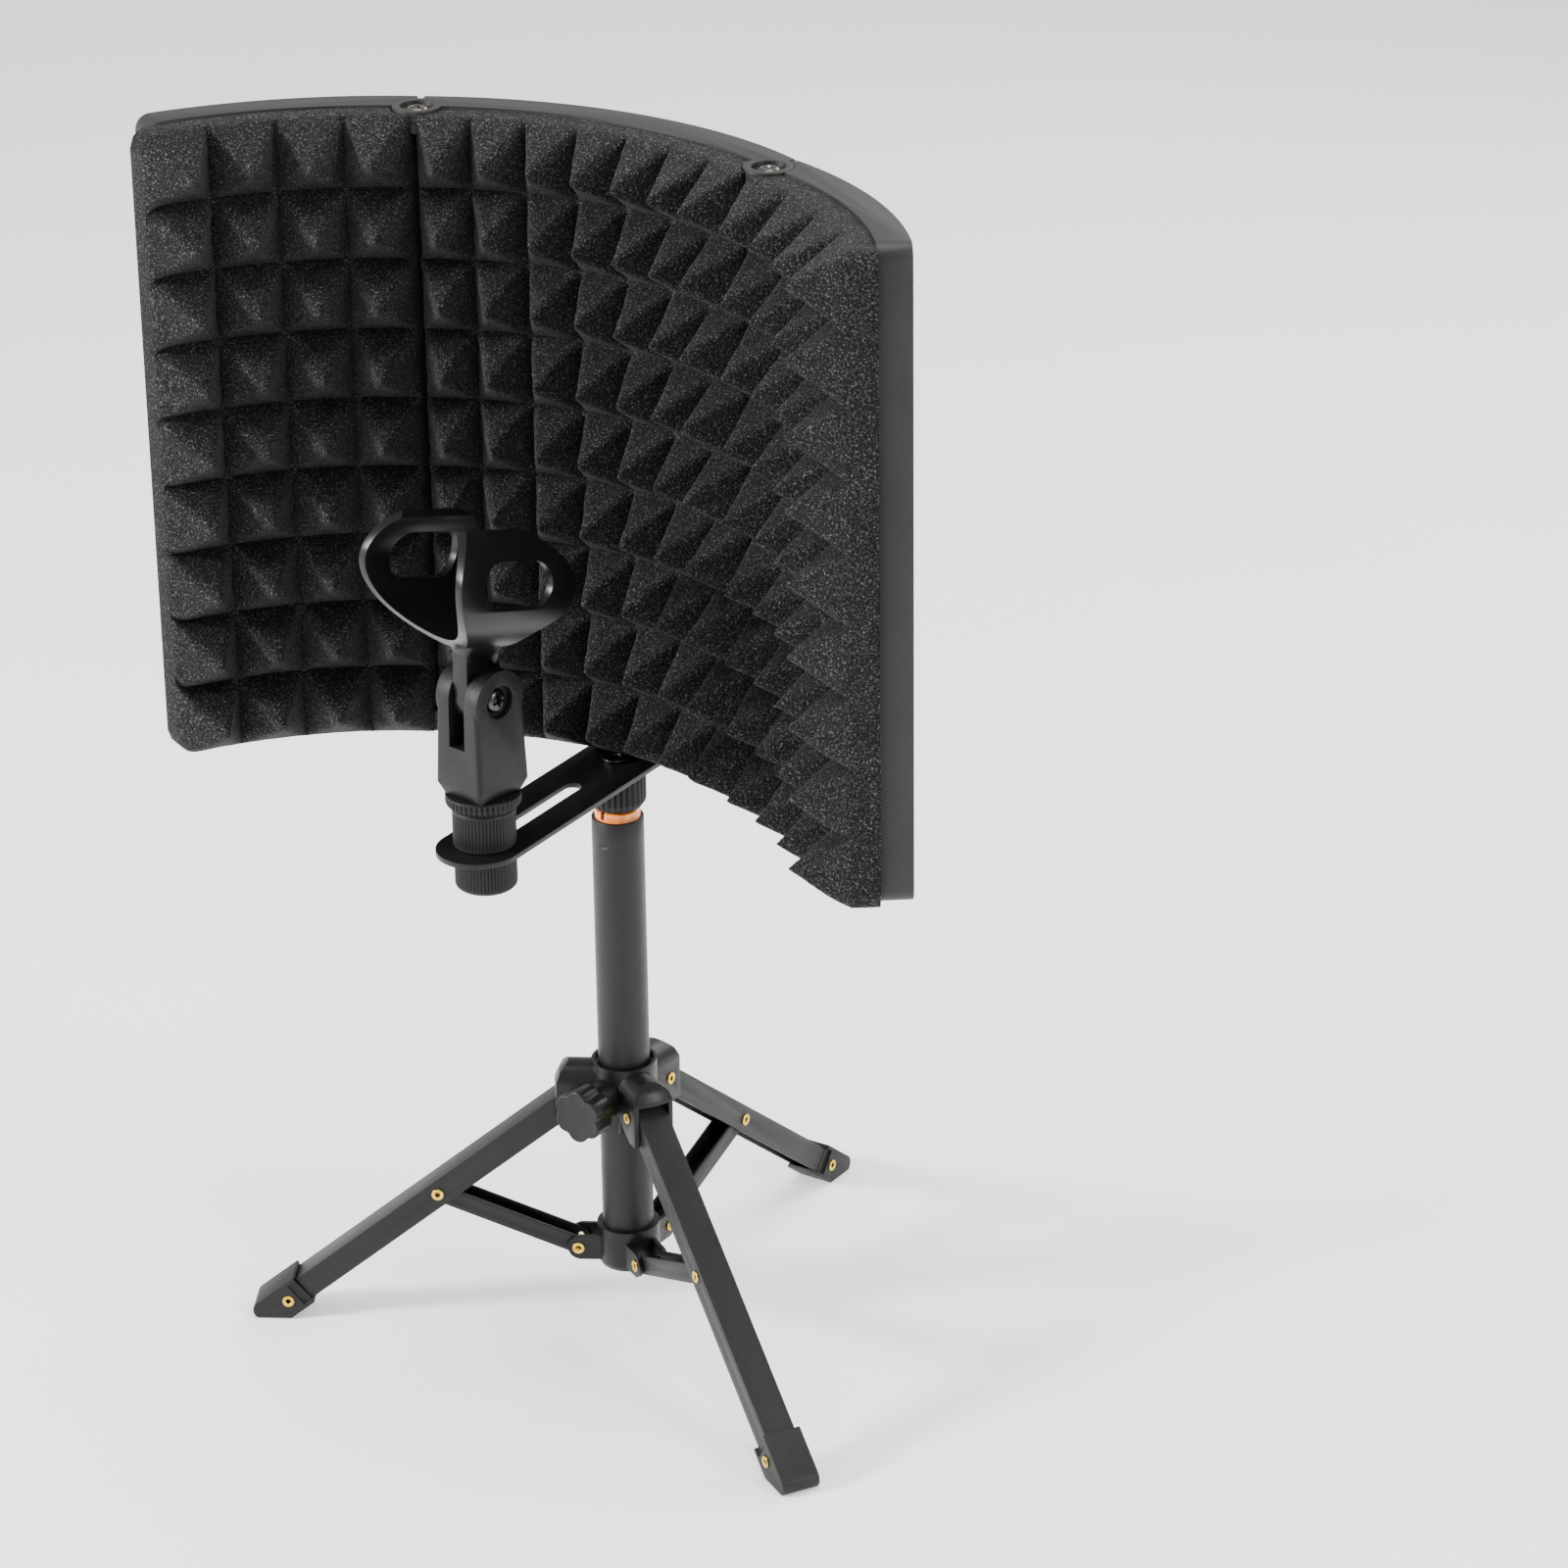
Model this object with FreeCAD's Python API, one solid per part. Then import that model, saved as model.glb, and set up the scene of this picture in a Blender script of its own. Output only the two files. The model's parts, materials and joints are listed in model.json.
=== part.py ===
import FreeCAD, Part
import os
from math import atan2, cos, degrees, pi, radians, sin, sqrt, tan

# Microphone isolation shield: a three-panel foam shield on a folding desk tripod.
# Millimetres. +Z is up, the origin is on the mast axis at floor level.
# The open, microphone side of the shield faces -Y; +X is the side of the right panel.

Vector = FreeCAD.Vector

# ---------------------------------------------------------------- driving dimensions
gap = 0.3                    # clearance between neighbouring bodies
pin_gap = 0.06               # radial running clearance of a pin in its hole
touch = 0.05                 # between faces that rest on each other
press_gap = 0.02             # radial, of a plug held fast in a tube
guide_gap = 0.1              # radial, of the sliding bush in the column
collet_gap = 0.12            # radial, of the mast in the collet

# shield
shield_height = 310.0
arc_radius = 219.6           # outer radius of the curved panels
arc_centre_y = -189.4
frame_depth = 15.5           # radial depth of a frame
frame_bar = 12.0             # width of a frame's bars
hinge_angle = 27.8           # from the middle of the shield to a panel seam
end_angle = 63.2             # from the middle of the shield to a free end
corner_radius = 7.5
seam_relief = 8.0            # degrees taken off each frame end at a seam
seam_chamfer = 45.0          # of a frame's edge in front of the hinge axis
foam_relief = 12.0           # degrees taken off each foam end at a seam
left_opening = 3.1           # rest angle of each side panel, outward
right_opening = 9.0
back_sheet = 1.0             # perforated back plate
back_inset = 6.5             # from the frame's back face to the plate
groove_depth = 4.0           # the plate's edge inside the frame's bars
foam_base = 13.0             # solid part of the foam in front of the frame
foam_peak = 29.0             # height of the pyramids on it
foam_top_gap = 1.2           # the foam ends this far below the frame's top
foam_bottom_gap = 0.5        # and begins this far above its bottom
plug_gap = 0.4               # round the foam's plug in the frame's window
foam_back_gap = 0.1          # between the plug and the back plate
foam_overhang = 9.2          # and this far beyond the frame's free end
foam_corner = 9.0            # radius of the foam's free corners
foam_pitch = 34.4            # one pyramid
lug_radius = 11.5
lug_thick = 5.0
hinge_screw_r = 2.5
hinge_head_r = 5.0
hinge_sink_r = 8.0
hinge_sink = 2.2
hinge_head_drop = 0.4        # the head's top below the lug's face
hinge_screw_short = 0.5      # the shank ends inside the inner lug
screw_recess_r = 1.6
screw_recess_depth = 1.6

# plate and mast
plate_width = 40.0
plate_thick = 2.5
plate_front = -116.3         # centre of the plate's round front end
plate_rear = 36.0
slot_width = 8.7
slot_front = -111.0          # centre of the slot's front end, where the holder stands
slot_rear = -38.0            # centre of the slot's rear end
bracket_thick = 2.0
mast_r = 9.5
mast_wall = 1.2
guide_wall = 1.8             # between the mast and the tube's bore, for the guide bush
tube_wall = 1.4
tube_r = mast_r + guide_wall + tube_wall
tube_mouth = 276.4
mast_length = 190.0
nut_r = mast_r + 4.7
nut_height = 21.4
stud_r = 4.0
collet_r = mast_r + 1.5
collet_rise = 4.6

# tripod
leg_turn = -1.9              # the tripod's turn about the mast
leg_pivot_z = 125.8
leg_angle = 51.7             # leg from the vertical, spread
leg_length = 187.0           # hub pivot to foot rivet
leg_tail = 5.0               # the channel beyond the foot rivet
leg_width = 15.6
leg_depth = 13.0
leg_wall = 1.1
brace_from = 88.3            # hub pivot to the brace pivot along the leg
brace_pivot_z = 42.6
brace_depth = 9.6
brace_wall = 1.0
rivet_r = 2.0
rivet_bore = 1.2
rivet_head_r = 3.1
rivet_head = 0.7
hub_wall = 3.2
hub_r = tube_r + gap + hub_wall
hub_top = 145.5
hub_bottom = 111.0
hub_lug_top = 144.0
hub_lug_bottom = 112.7
collar_wall = 2.5
collar_r = tube_r + gap + collar_wall
collar_top = 54.8
collar_bottom = 31.4
fork_wall = 2.0
foot_back = 10.0             # cap length from the foot rivet towards the hub
foot_tip = 19.0              # and beyond the rivet
knob_z = 130.0
knob_thick = 12.5
knob_r = 13.5
knob_lobes = 6
boss_r = 9.6
screw_r = 3.0
leg_pivot_r = hub_r + 8.55   # pivots and lugs keep their distance from the castings' walls
hub_lug_reach = hub_r + 18.3
brace_pivot_r = collar_r + 9.05
fork_reach = collar_r + 14.1
boss_reach = hub_r + 10.8
knob_face = hub_r + 24.8     # from the mast axis to the knob's front face
lug_width = leg_width + 5.2  # a hub lug outside the leg it holds
brace_width = leg_width - 2 * leg_wall - 1.8
foot_width = leg_width + 3.8
foot_depth = leg_depth + 4.2

# microphone holder, in its own frame: x to the right, y to the back
holder_turn = -11.0          # pan of the holder about its stud
lower_nut_r = 14.6
lower_nut_height = 19.0
sleeve_r = 14.8
sleeve_height = 19.0
ring_r = 17.7
ring_height = 7.4
yoke_bottom = 332.2
yoke_width = 29.5
yoke_depth = 32.0
yoke_neck_width = 26.4
yoke_top_r = 15.0
pivot_z = 380.0
yoke_slot = 9.8
yoke_slot_floor = 358.0
thread_r = 7.9               # 5/8 inch microphone thread
clip_tilt = 15.0             # front of the clip up
clip_inner_r = 29.0
clip_wall = 4.0
clip_height = 57.0           # pivot to the clip's own axis
clip_front = -57.2
clip_rear = 17.0
clip_mouth = 37.5            # half angle of the gap at the top
clip_hole_length = 43.5
clip_hole_height = 22.5
clip_hole_y = -20.3
clip_hole_z = 59.6
tongue_r = 12.5
pivot_screw_r = 2.5

# ---------------------------------------------------------------- derived sizes
plate_top = 305.7
shield_bottom = plate_top + bracket_thick + 0.1
shield_top = shield_bottom + shield_height
plate_bottom = plate_top - plate_thick
inner_radius = arc_radius - frame_depth
hinge_radius = inner_radius + 0.5
sheet_outer = arc_radius - back_inset
sheet_inner = sheet_outer - back_sheet
valley_radius = inner_radius - foam_base
peak_radius = valley_radius - foam_peak
hinge_x = hinge_radius * sin(radians(hinge_angle))
hinge_y = arc_centre_y + hinge_radius * cos(radians(hinge_angle))
nut_bottom = plate_bottom - nut_height
hub_bore = tube_r + gap
leg_names = ("left", "right", "rear")
leg_azimuths = {"left": -60.0 + leg_turn, "right": 60.0 + leg_turn, "rear": 180.0 + leg_turn}
Z_AXIS = Vector(0, 0, 1)
ORIGIN = Vector(0, 0, 0)
parts = {}


# ---------------------------------------------------------------- helpers
def box(x0, x1, y0, y1, z0, z1):
    return Part.makeBox(x1 - x0, y1 - y0, z1 - z0, Vector(x0, y0, z0))


def rod(radius, z0, z1, x=0.0, y=0.0):
    return Part.makeCylinder(radius, z1 - z0, Vector(x, y, z0), Z_AXIS)


def rod_along(radius, start, end):
    start, end = Vector(*start), Vector(*end)
    return Part.makeCylinder(radius, (end - start).Length, start, end - start)


def cross_rod(radius, x0, x1, y, z):
    """A rod along X."""
    return rod_along(radius, (x0, y, z), (x1, y, z))


def pipe(outer, inner, z0, z1, x=0.0, y=0.0):
    return rod(outer, z0, z1, x, y).cut(rod(inner, z0 - 1, z1 + 1, x, y))


def extrude(points, direction):
    wire = Part.makePolygon([Vector(*p) for p in points] + [Vector(*points[0])])
    return Part.Face(wire).extrude(Vector(*direction))


def turned(points):
    """A solid of revolution about Z from (radius, z) points."""
    wire = Part.makePolygon([Vector(r, 0, z) for r, z in points] + [Vector(points[0][0], 0, points[0][1])])
    return Part.Face(wire).revolve(ORIGIN, Z_AXIS, 360)


def fuse(shapes):
    shapes = list(shapes)
    result = shapes[0]
    for other in shapes[1:]:
        result = result.fuse(other)
    return result.removeSplitter()


def turn(shape, angle, about=ORIGIN, axis=Z_AXIS):
    copy = shape.copy()
    copy.rotate(about, axis, angle)
    return copy


def shift(shape, x=0.0, y=0.0, z=0.0):
    copy = shape.copy()
    copy.translate(Vector(x, y, z))
    return copy


def compound(shapes):
    return Part.makeCompound([solid for shape in shapes for solid in shape.Solids])


# ---------------------------------------------------------------- shield panels
def arc_point(radius, angle):
    a = radians(angle)
    return Vector(radius * sin(a), arc_centre_y + radius * cos(a), 0)


def sector(inner, outer, start, end, z0, z1):
    """A curved slab between two radii and two angles of the shield's arc."""
    middle = (start + end) / 2
    edges = [
        Part.Arc(arc_point(outer, start), arc_point(outer, middle), arc_point(outer, end)).toShape(),
        Part.makeLine(arc_point(outer, end), arc_point(inner, end)),
        Part.Arc(arc_point(inner, end), arc_point(inner, middle), arc_point(inner, start)).toShape(),
        Part.makeLine(arc_point(inner, start), arc_point(outer, start)),
    ]
    face = Part.Face(Part.Wire(edges))
    return shift(face.extrude(Vector(0, 0, z1 - z0)), z=z0)


def bar_angle(width, radius):
    return degrees(width / radius)


def wedge(side, relief, front):
    """The space cut off a panel end at a seam: a wedge from the hinge axis, behind or in front of it."""
    reach = frame_depth + 10.0 if not front else foam_base + foam_peak + 12.0
    sign = -1.0 if front else 1.0
    along = Vector(sin(radians(hinge_angle)), cos(radians(hinge_angle)), 0) * sign
    across = Vector(cos(radians(hinge_angle)), -sin(radians(hinge_angle)), 0)
    start = Vector(hinge_x, hinge_y, 0)
    spread = tan(radians(relief)) * reach
    points = [start, start + along * reach + across * spread, start + along * reach - across * spread]
    cutter = Part.Face(Part.makePolygon(points + [points[0]])).extrude(Vector(0, 0, shield_height + 20))
    cutter = shift(cutter, z=shield_bottom - 10)
    return cutter if side > 0 else cutter.mirror(ORIGIN, Vector(1, 0, 0))


def round_corners(slab, inner, outer, angle, radius):
    """Rounds the top and bottom corner of a curved slab's end at that angle."""
    middle = arc_point((inner + outer) / 2, angle)
    ends = []
    for edge in slab.Edges:
        centre = edge.CenterOfMass
        if (centre - Vector(middle.x, middle.y, centre.z)).Length < 0.1:
            ends.append(edge)
    return slab.makeFillet(radius, ends)


def lug_levels(kind):
    """The heights of one panel's two hinge lugs: the centre's are outside the side panels'."""
    if kind == "outer":
        return ((shield_top - lug_thick, shield_top), (shield_bottom, shield_bottom + lug_thick))
    step = lug_thick + gap
    return (
        (shield_top - step - lug_thick, shield_top - step),
        (shield_bottom + step, shield_bottom + step + lug_thick),
    )


def panel_frame(start, end, seams, free, kind):
    body = sector(inner_radius, arc_radius, start, end, shield_bottom, shield_top)
    for angle in free:
        body = round_corners(body, inner_radius, arc_radius, angle, corner_radius)
    edge = bar_angle(frame_bar, inner_radius)
    window = sector(inner_radius - 5, arc_radius + 5, start + edge, end - edge,
                    shield_bottom + frame_bar, shield_top - frame_bar)
    groove = bar_angle(groove_depth, sheet_outer)
    sheet = sector(sheet_inner, sheet_outer, start + edge - groove, end - edge + groove,
                   shield_bottom + frame_bar - groove_depth, shield_top - frame_bar + groove_depth)
    body = body.cut(window)
    for side in seams:
        body = body.cut(wedge(side, seam_relief, False))
        body = body.cut(wedge(side, seam_chamfer, True))
    other = "inner" if kind == "outer" else "outer"
    for side in seams:
        for low, high in lug_levels(other):
            lug_room = rod(lug_radius + gap, low - gap, high + gap, side * hinge_x, hinge_y)
            body = body.cut(lug_room)
            sheet = sheet.cut(lug_room)
        for low, high in lug_levels(kind):
            body = body.fuse(rod(lug_radius, low, high, side * hinge_x, hinge_y))
        for low, high in lug_levels(kind):
            hole = hinge_screw_r + pin_gap if kind == "outer" else hinge_screw_r + 1.0
            body = body.cut(rod(hole, low - 1, high + 1, side * hinge_x, hinge_y))
        if kind == "outer":
            for low in (shield_top - hinge_sink, shield_bottom - 1):
                body = body.cut(rod(hinge_sink_r, low, low + hinge_sink + 1, side * hinge_x, hinge_y))
    return body.removeSplitter().cut(sheet), sheet


def panel_foam(start, end, seams, free):
    """A curved pad: a solid base, and a stepped block as high as the pyramids on it."""
    low, high = shield_bottom + foam_bottom_gap, shield_top - foam_top_gap
    over = bar_angle(foam_overhang, inner_radius)
    first = start - over if start in free else start
    last = end + over if end in free else end
    base = sector(valley_radius, inner_radius - touch, first, last, low, high)
    for angle in free:
        end_angle_of_pad = first if angle < 0 else last
        base = round_corners(base, valley_radius, inner_radius - touch, end_angle_of_pad, foam_corner)
    pad = [base]
    for step in (1, 2):
        inset = step * foam_pitch / 4
        side = bar_angle(inset, valley_radius)
        outer = valley_radius - foam_peak * (step - 1) / 2
        pad.append(sector(outer - foam_peak / 2, outer + 1, first + side, last - side,
                          low + inset, high - inset))
    plug_inset = frame_bar + plug_gap
    edge = bar_angle(plug_inset, inner_radius)
    pad.append(sector(inner_radius - 1, sheet_inner - foam_back_gap, start + edge, end - edge,
                      shield_bottom + plug_inset, shield_top - plug_inset))
    pad = fuse(pad)
    lug_space = 2 * lug_thick + 3 * gap
    for side in seams:
        pad = pad.cut(wedge(side, foam_relief, True))
        for z0 in (shield_bottom - 1, shield_top - lug_space):
            pad = pad.cut(rod(lug_radius + 2 * gap, z0, z0 + lug_space + 1, side * hinge_x, hinge_y))
    return pad.removeSplitter()


def hinge_screw(side, top):
    """A panhead screw from outside through both lugs into the threaded insert."""
    length = 2 * lug_thick + gap - hinge_sink
    head = rod(hinge_head_r, 0, hinge_sink - hinge_head_drop)
    shank = rod(hinge_screw_r, hinge_screw_short - length, 0)
    recess = rod(screw_recess_r, hinge_sink - screw_recess_depth, hinge_sink + 1)
    screw = head.fuse(shank).cut(recess).removeSplitter()
    if not top:
        screw = turn(screw, 180, ORIGIN, Vector(1, 0, 0))
    seat = shield_top - hinge_sink if top else shield_bottom + hinge_sink
    return shift(screw, side * hinge_x, hinge_y, seat)


panel_spans = {
    "centre": (-hinge_angle, hinge_angle, (-1, 1), (), "outer"),
    "left": (-end_angle, -hinge_angle, (-1,), (-end_angle,), "inner"),
    "right": (hinge_angle, end_angle, (1,), (end_angle,), "inner"),
}
# a positive turn is anticlockwise from above
panel_turns = {"centre": 0.0, "left": -left_opening, "right": right_opening}
for name, (start, end, seams, free, kind) in panel_spans.items():
    frame, sheet = panel_frame(start, end, seams, free, kind)
    foam = panel_foam(start, end, seams, free)
    pivot = Vector(-hinge_x if name == "left" else hinge_x, hinge_y, 0)
    for node, solid in ((name + "_frame", frame), (name + "_back_plate", sheet), (name + "_foam", foam)):
        parts[node] = turn(solid, panel_turns[name], pivot)
for name, side in (("left", -1), ("right", 1)):
    screws = [hinge_screw(side, top) for top in (True, False)]
    parts[name + "_hinge_screws"] = compound(screws)
    rings = [pipe(hinge_screw_r + 1.0, hinge_screw_r + pin_gap, low, high, side * hinge_x, hinge_y)
             for low, high in lug_levels("inner")]
    parts[name + "_hinge_inserts"] = compound(rings)

# ---------------------------------------------------------------- plate and bracket
half = plate_width / 2
front = rod(half, plate_bottom, plate_top, 0, plate_front)
plate = front.fuse(box(-half, half, plate_front, plate_rear - 6, plate_bottom, plate_top))
plate = plate.fuse(box(-half + 6, half - 6, plate_rear - 7, plate_rear, plate_bottom, plate_top))
for side in (-1, 1):
    plate = plate.fuse(rod(6, plate_bottom, plate_top, side * (half - 6), plate_rear - 6))
slot = rod(slot_width / 2, plate_bottom - 1, plate_top + 1, 0, slot_front)
slot = slot.fuse(rod(slot_width / 2, plate_bottom - 1, plate_top + 1, 0, slot_rear))
slot = slot.fuse(box(-slot_width / 2, slot_width / 2, slot_front, slot_rear, plate_bottom - 1, plate_top + 1))
bracket_screw_x = 11.0
flange_screw_y = 22.5
plate = plate.cut(slot).cut(rod(stud_r + 0.2, plate_bottom - 1, plate_top + 1))
back_angle = bar_angle(half, arc_radius)
flange_y = 12.0
bracket = sector(arc_radius, arc_radius + bracket_thick, -back_angle, back_angle, plate_top, plate_top + 30)
flange = box(-half + 1, half - 1, flange_y, 60, plate_top, plate_top + bracket_thick)
flange = flange.common(rod(arc_radius + bracket_thick, plate_top - 1, plate_top + 10, 0, arc_centre_y))
bracket = bracket.fuse(flange)
bracket_screw_z = shield_bottom + frame_bar / 2
screws = []
for side in (-1, 1):
    x = side * bracket_screw_x
    # flange screws, up through the plate into the bracket
    screws.append(rod(1.5, plate_bottom - 0.2, plate_top + bracket_thick, x, flange_screw_y)
                  .fuse(rod(3.2, plate_bottom - 1.8, plate_bottom, x, flange_screw_y)))
    plate = plate.cut(rod(1.5, plate_bottom - 1, plate_top + 1, x, flange_screw_y))
    bracket = bracket.cut(rod(1.5, plate_top - 1, plate_top + bracket_thick + 1, x, flange_screw_y))
    # back screws, forward through the bracket into the frame's lower bar
    y_back = arc_centre_y + sqrt((arc_radius + bracket_thick) ** 2 - x * x)
    hole = rod_along(1.5, (x, y_back - 10, bracket_screw_z), (x, y_back + 1, bracket_screw_z))
    bracket = bracket.cut(hole)
    parts["centre_frame"] = parts["centre_frame"].cut(hole)
    head = rod_along(3.2, (x, y_back + 0.15, bracket_screw_z), (x, y_back + 2.0, bracket_screw_z))
    screws.append(hole.common(box(-50, 50, y_back - 10, y_back + 0.5, 0, 400)).fuse(head))
    bracket = bracket.cut(head)
parts["arm_plate"] = plate.removeSplitter()
parts["shield_bracket"] = bracket.removeSplitter()
parts["bracket_screws"] = compound(s.removeSplitter() for s in screws)

# ---------------------------------------------------------------- mast
mast_top = nut_bottom + 1.0
mast_bottom = mast_top - mast_length
parts["mast_tube"] = pipe(mast_r, mast_r - mast_wall, mast_bottom, mast_top)
plug_r = mast_r - mast_wall - press_gap
head = turned([(0, mast_top - 18), (plug_r, mast_top - 18), (plug_r, mast_top),
               (mast_r, mast_top), (mast_r, mast_top + 3), (stud_r, mast_top + 3),
               (stud_r, plate_top - 0.2), (0, plate_top - 0.2)])
tapped_r = 2.0
head = head.cut(rod(tapped_r, plate_top - 9, plate_top))
parts["mast_head"] = head
bush_low, bush_high = mast_bottom - 4, mast_bottom + 12
guide_r = tube_r - tube_wall - guide_gap
bush_bore = mast_r - mast_wall - 3
bush = turned([(bush_bore, bush_low), (guide_r, bush_low), (guide_r, mast_bottom), (plug_r, mast_bottom),
               (plug_r, bush_high), (bush_bore, bush_high)])
parts["mast_guide_bush"] = bush
cap_low, cap_high = plate_top + 0.02, plate_top + 1.7
cap = rod(7.0, cap_low, cap_high).fuse(rod(tapped_r - 0.02, plate_top - 8, cap_low))
cap = cap.cut(rod(2.4, cap_high - 0.9, cap_high + 1))
parts["mast_cap_screw"] = cap.removeSplitter()
nut_chamfer = 3.4
nut = turned([(mast_r + 0.3, nut_bottom), (nut_r - 2.6, nut_bottom), (nut_r, nut_bottom + nut_chamfer),
              (nut_r, plate_bottom - 0.05), (stud_r + pin_gap, plate_bottom - 0.05),
              (stud_r + pin_gap, mast_top + 3 + 0.3), (mast_r + 0.3, mast_top + 3 + 0.3)])
parts["mast_thumb_nut"] = nut

# ---------------------------------------------------------------- column
tube_bottom = collar_bottom + 3.0
parts["column_tube"] = pipe(tube_r, tube_r - tube_wall, tube_bottom, tube_mouth)
collet_bore = mast_r + collet_gap
collet = turned([(collet_bore, tube_mouth - 14), (tube_r - tube_wall, tube_mouth - 14),
                 (tube_r - tube_wall, tube_mouth), (collet_r, tube_mouth + 0.6),
                 (collet_r, tube_mouth + collet_rise - 0.6), (collet_r - 0.6, tube_mouth + collet_rise),
                 (collet_bore, tube_mouth + collet_rise)])
collet_slit = 2.2
slit_turn = -8.5
slit = box(-collet_slit / 2, collet_slit / 2, -20, 0, tube_mouth + 0.8, tube_mouth + 10)
collet = collet.cut(turn(slit, slit_turn))
parts["collet_ring"] = collet

pivot_fork = brace_width / 2 + gap
collar = turned([(0, collar_bottom), (collar_r - 4, collar_bottom), (collar_r - 1.2, collar_bottom + 1.6),
                 (collar_r, collar_bottom + 4.5), (collar_r, collar_top), (tube_r, collar_top),
                 (tube_r, tube_bottom), (0, tube_bottom)])
eyelets = []
for name in leg_names:
    ear_profile = box(-fork_wall, 0, 0, fork_reach - 5.0, -6.4, 6.4).fuse(
        rod_along(6.4, (-fork_wall, brace_pivot_r - 1.2, 0), (0, brace_pivot_r - 1.2, 0)))
    for side in (-1, 1):
        ear = ear_profile if side < 0 else shift(ear_profile, x=fork_wall)
        ear = shift(ear, x=side * pivot_fork, z=brace_pivot_z)
        ear = ear.cut(rod(collar_r - 1.0, 0, 100))
        x0, x1 = side * pivot_fork, side * (pivot_fork + fork_wall)
        ear = ear.cut(cross_rod(rivet_r, x0 - side, x1 + side, brace_pivot_r, brace_pivot_z))
        eyelet = cross_rod(rivet_r, x0, x1, brace_pivot_r, brace_pivot_z)
        eyelet = eyelet.fuse(cross_rod(rivet_head_r, x1, x1 + side * rivet_head, brace_pivot_r, brace_pivot_z))
        eyelet = eyelet.cut(cross_rod(rivet_bore, x0 - side, x1 + 2 * side, brace_pivot_r, brace_pivot_z))
        azimuth = leg_azimuths[name] + 180.0
        collar = collar.fuse(turn(ear, azimuth))
        eyelets.append(turn(eyelet.removeSplitter(), azimuth))
parts["column_collar"] = collar.removeSplitter()
parts["collar_rivets"] = compound(eyelets)

# ---------------------------------------------------------------- hub
lug_in = leg_width / 2 + gap
lug_half = lug_width / 2
vault_z = hub_lug_top - lug_half
envelope_low, envelope_high = hub_bottom - 11, hub_top + 4.5
envelope = turned([(0, envelope_low), (hub_lug_reach - 2, envelope_low), (hub_lug_reach, envelope_low + 4),
                   (hub_lug_reach, hub_lug_top - 9), (hub_lug_reach - 2.4, hub_lug_top - 4),
                   (hub_lug_reach - 7, hub_lug_top), (hub_lug_reach - 10, envelope_high), (0, envelope_high)])
hub = rod(hub_r, hub_bottom, hub_top)
pocket_top = leg_pivot_z + leg_depth / 2 + 1.6
lug = box(-lug_half, lug_half, 0, hub_lug_reach, hub_lug_bottom, vault_z).fuse(
    rod_along(lug_half, (0, 0, vault_z), (0, hub_lug_reach, vault_z)))
lug = lug.common(envelope)
lower_cut = extrude([(-30, hub_r, hub_lug_bottom - 1), (-30, hub_lug_reach - 6, hub_lug_bottom - 1),
                     (-30, hub_r, hub_lug_bottom + 7)], (60, 0, 0))
lug = lug.cut(lower_cut)
for name in leg_names:
    hub = hub.fuse(turn(lug, leg_azimuths[name] + 180.0))
boss_end = -boss_reach
boss = rod_along(boss_r, (0, 0, knob_z), (0, boss_end, knob_z))
hub = hub.fuse(turn(boss, leg_turn))
pocket = box(-lug_in, lug_in, leg_pivot_r - leg_depth / 2 - 1.4, 60, hub_lug_bottom - 20, pocket_top)
rivets = []
for name in leg_names:
    azimuth = leg_azimuths[name] + 180.0
    hub = hub.cut(turn(pocket, azimuth))
    hub = hub.cut(turn(cross_rod(rivet_r, -lug_width, lug_width, leg_pivot_r, leg_pivot_z), azimuth))
    pin = cross_rod(rivet_r, -lug_half, lug_half, leg_pivot_r, leg_pivot_z)
    for side in (-1, 1):
        lip_end = side * (lug_half + rivet_head)
        pin = pin.fuse(cross_rod(rivet_head_r, side * lug_half, lip_end, leg_pivot_r, leg_pivot_z))
    pin = pin.cut(cross_rod(rivet_bore, -lug_width, lug_width, leg_pivot_r, leg_pivot_z))
    rivets.append(turn(pin.removeSplitter(), azimuth))
hub = hub.cut(rod(hub_bore, hub_bottom - 20, hub_top + 1))
hub = hub.cut(rod(hub_r - 1.6, hub_top - 3.0, hub_top + 1))
shoe_r = 4.2
screw_hole = rod_along(screw_r + 0.1, (0, 0, knob_z), (0, -60, knob_z))
shoe_hole = rod_along(shoe_r + 0.1, (0, 0, knob_z), (0, -20, knob_z))
hub = hub.cut(turn(screw_hole, leg_turn)).cut(turn(shoe_hole, leg_turn))
parts["hub"] = hub.removeSplitter()
parts["hub_rivets"] = compound(rivets)

shoe_front = tube_r + 0.25
shoe_end = shoe_front + 4.0
shoe = rod_along(shoe_r, (0, -10, knob_z), (0, -shoe_end, knob_z))
shoe = shoe.cut(rod(shoe_front, knob_z - 20, knob_z + 20))
shoe = shoe.fuse(rod_along(1.6, (0, -shoe_end, knob_z), (0, -shoe_end - 2.5, knob_z)))
parts["clamp_shoe"] = turn(shoe.removeSplitter(), leg_turn)
screw = rod_along(screw_r, (0, -shoe_end - 0.15, knob_z), (0, -knob_face + 4, knob_z))
screw = screw.cut(rod_along(1.6 + pin_gap, (0, -shoe_end + 1, knob_z), (0, -shoe_end - 3.0, knob_z)))
parts["clamp_screw"] = turn(screw, leg_turn)
knob_back = knob_face - knob_thick
lobe_circle = knob_r - 4.2
lobe_r = 4.2
web_r = knob_r - 2.0
knob_shape = rod_along(web_r, (0, -knob_back, knob_z), (0, -knob_face, knob_z))
for i in range(knob_lobes):
    a = 2 * pi * (i + 0.5) / knob_lobes
    x, z = lobe_circle * sin(a), knob_z + lobe_circle * cos(a)
    knob_shape = knob_shape.fuse(rod_along(lobe_r, (x, -knob_back, z), (x, -knob_face, z)))
knob_shape = knob_shape.cut(rod_along(screw_r, (0, 0, knob_z), (0, -knob_face + 4, knob_z)))
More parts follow.
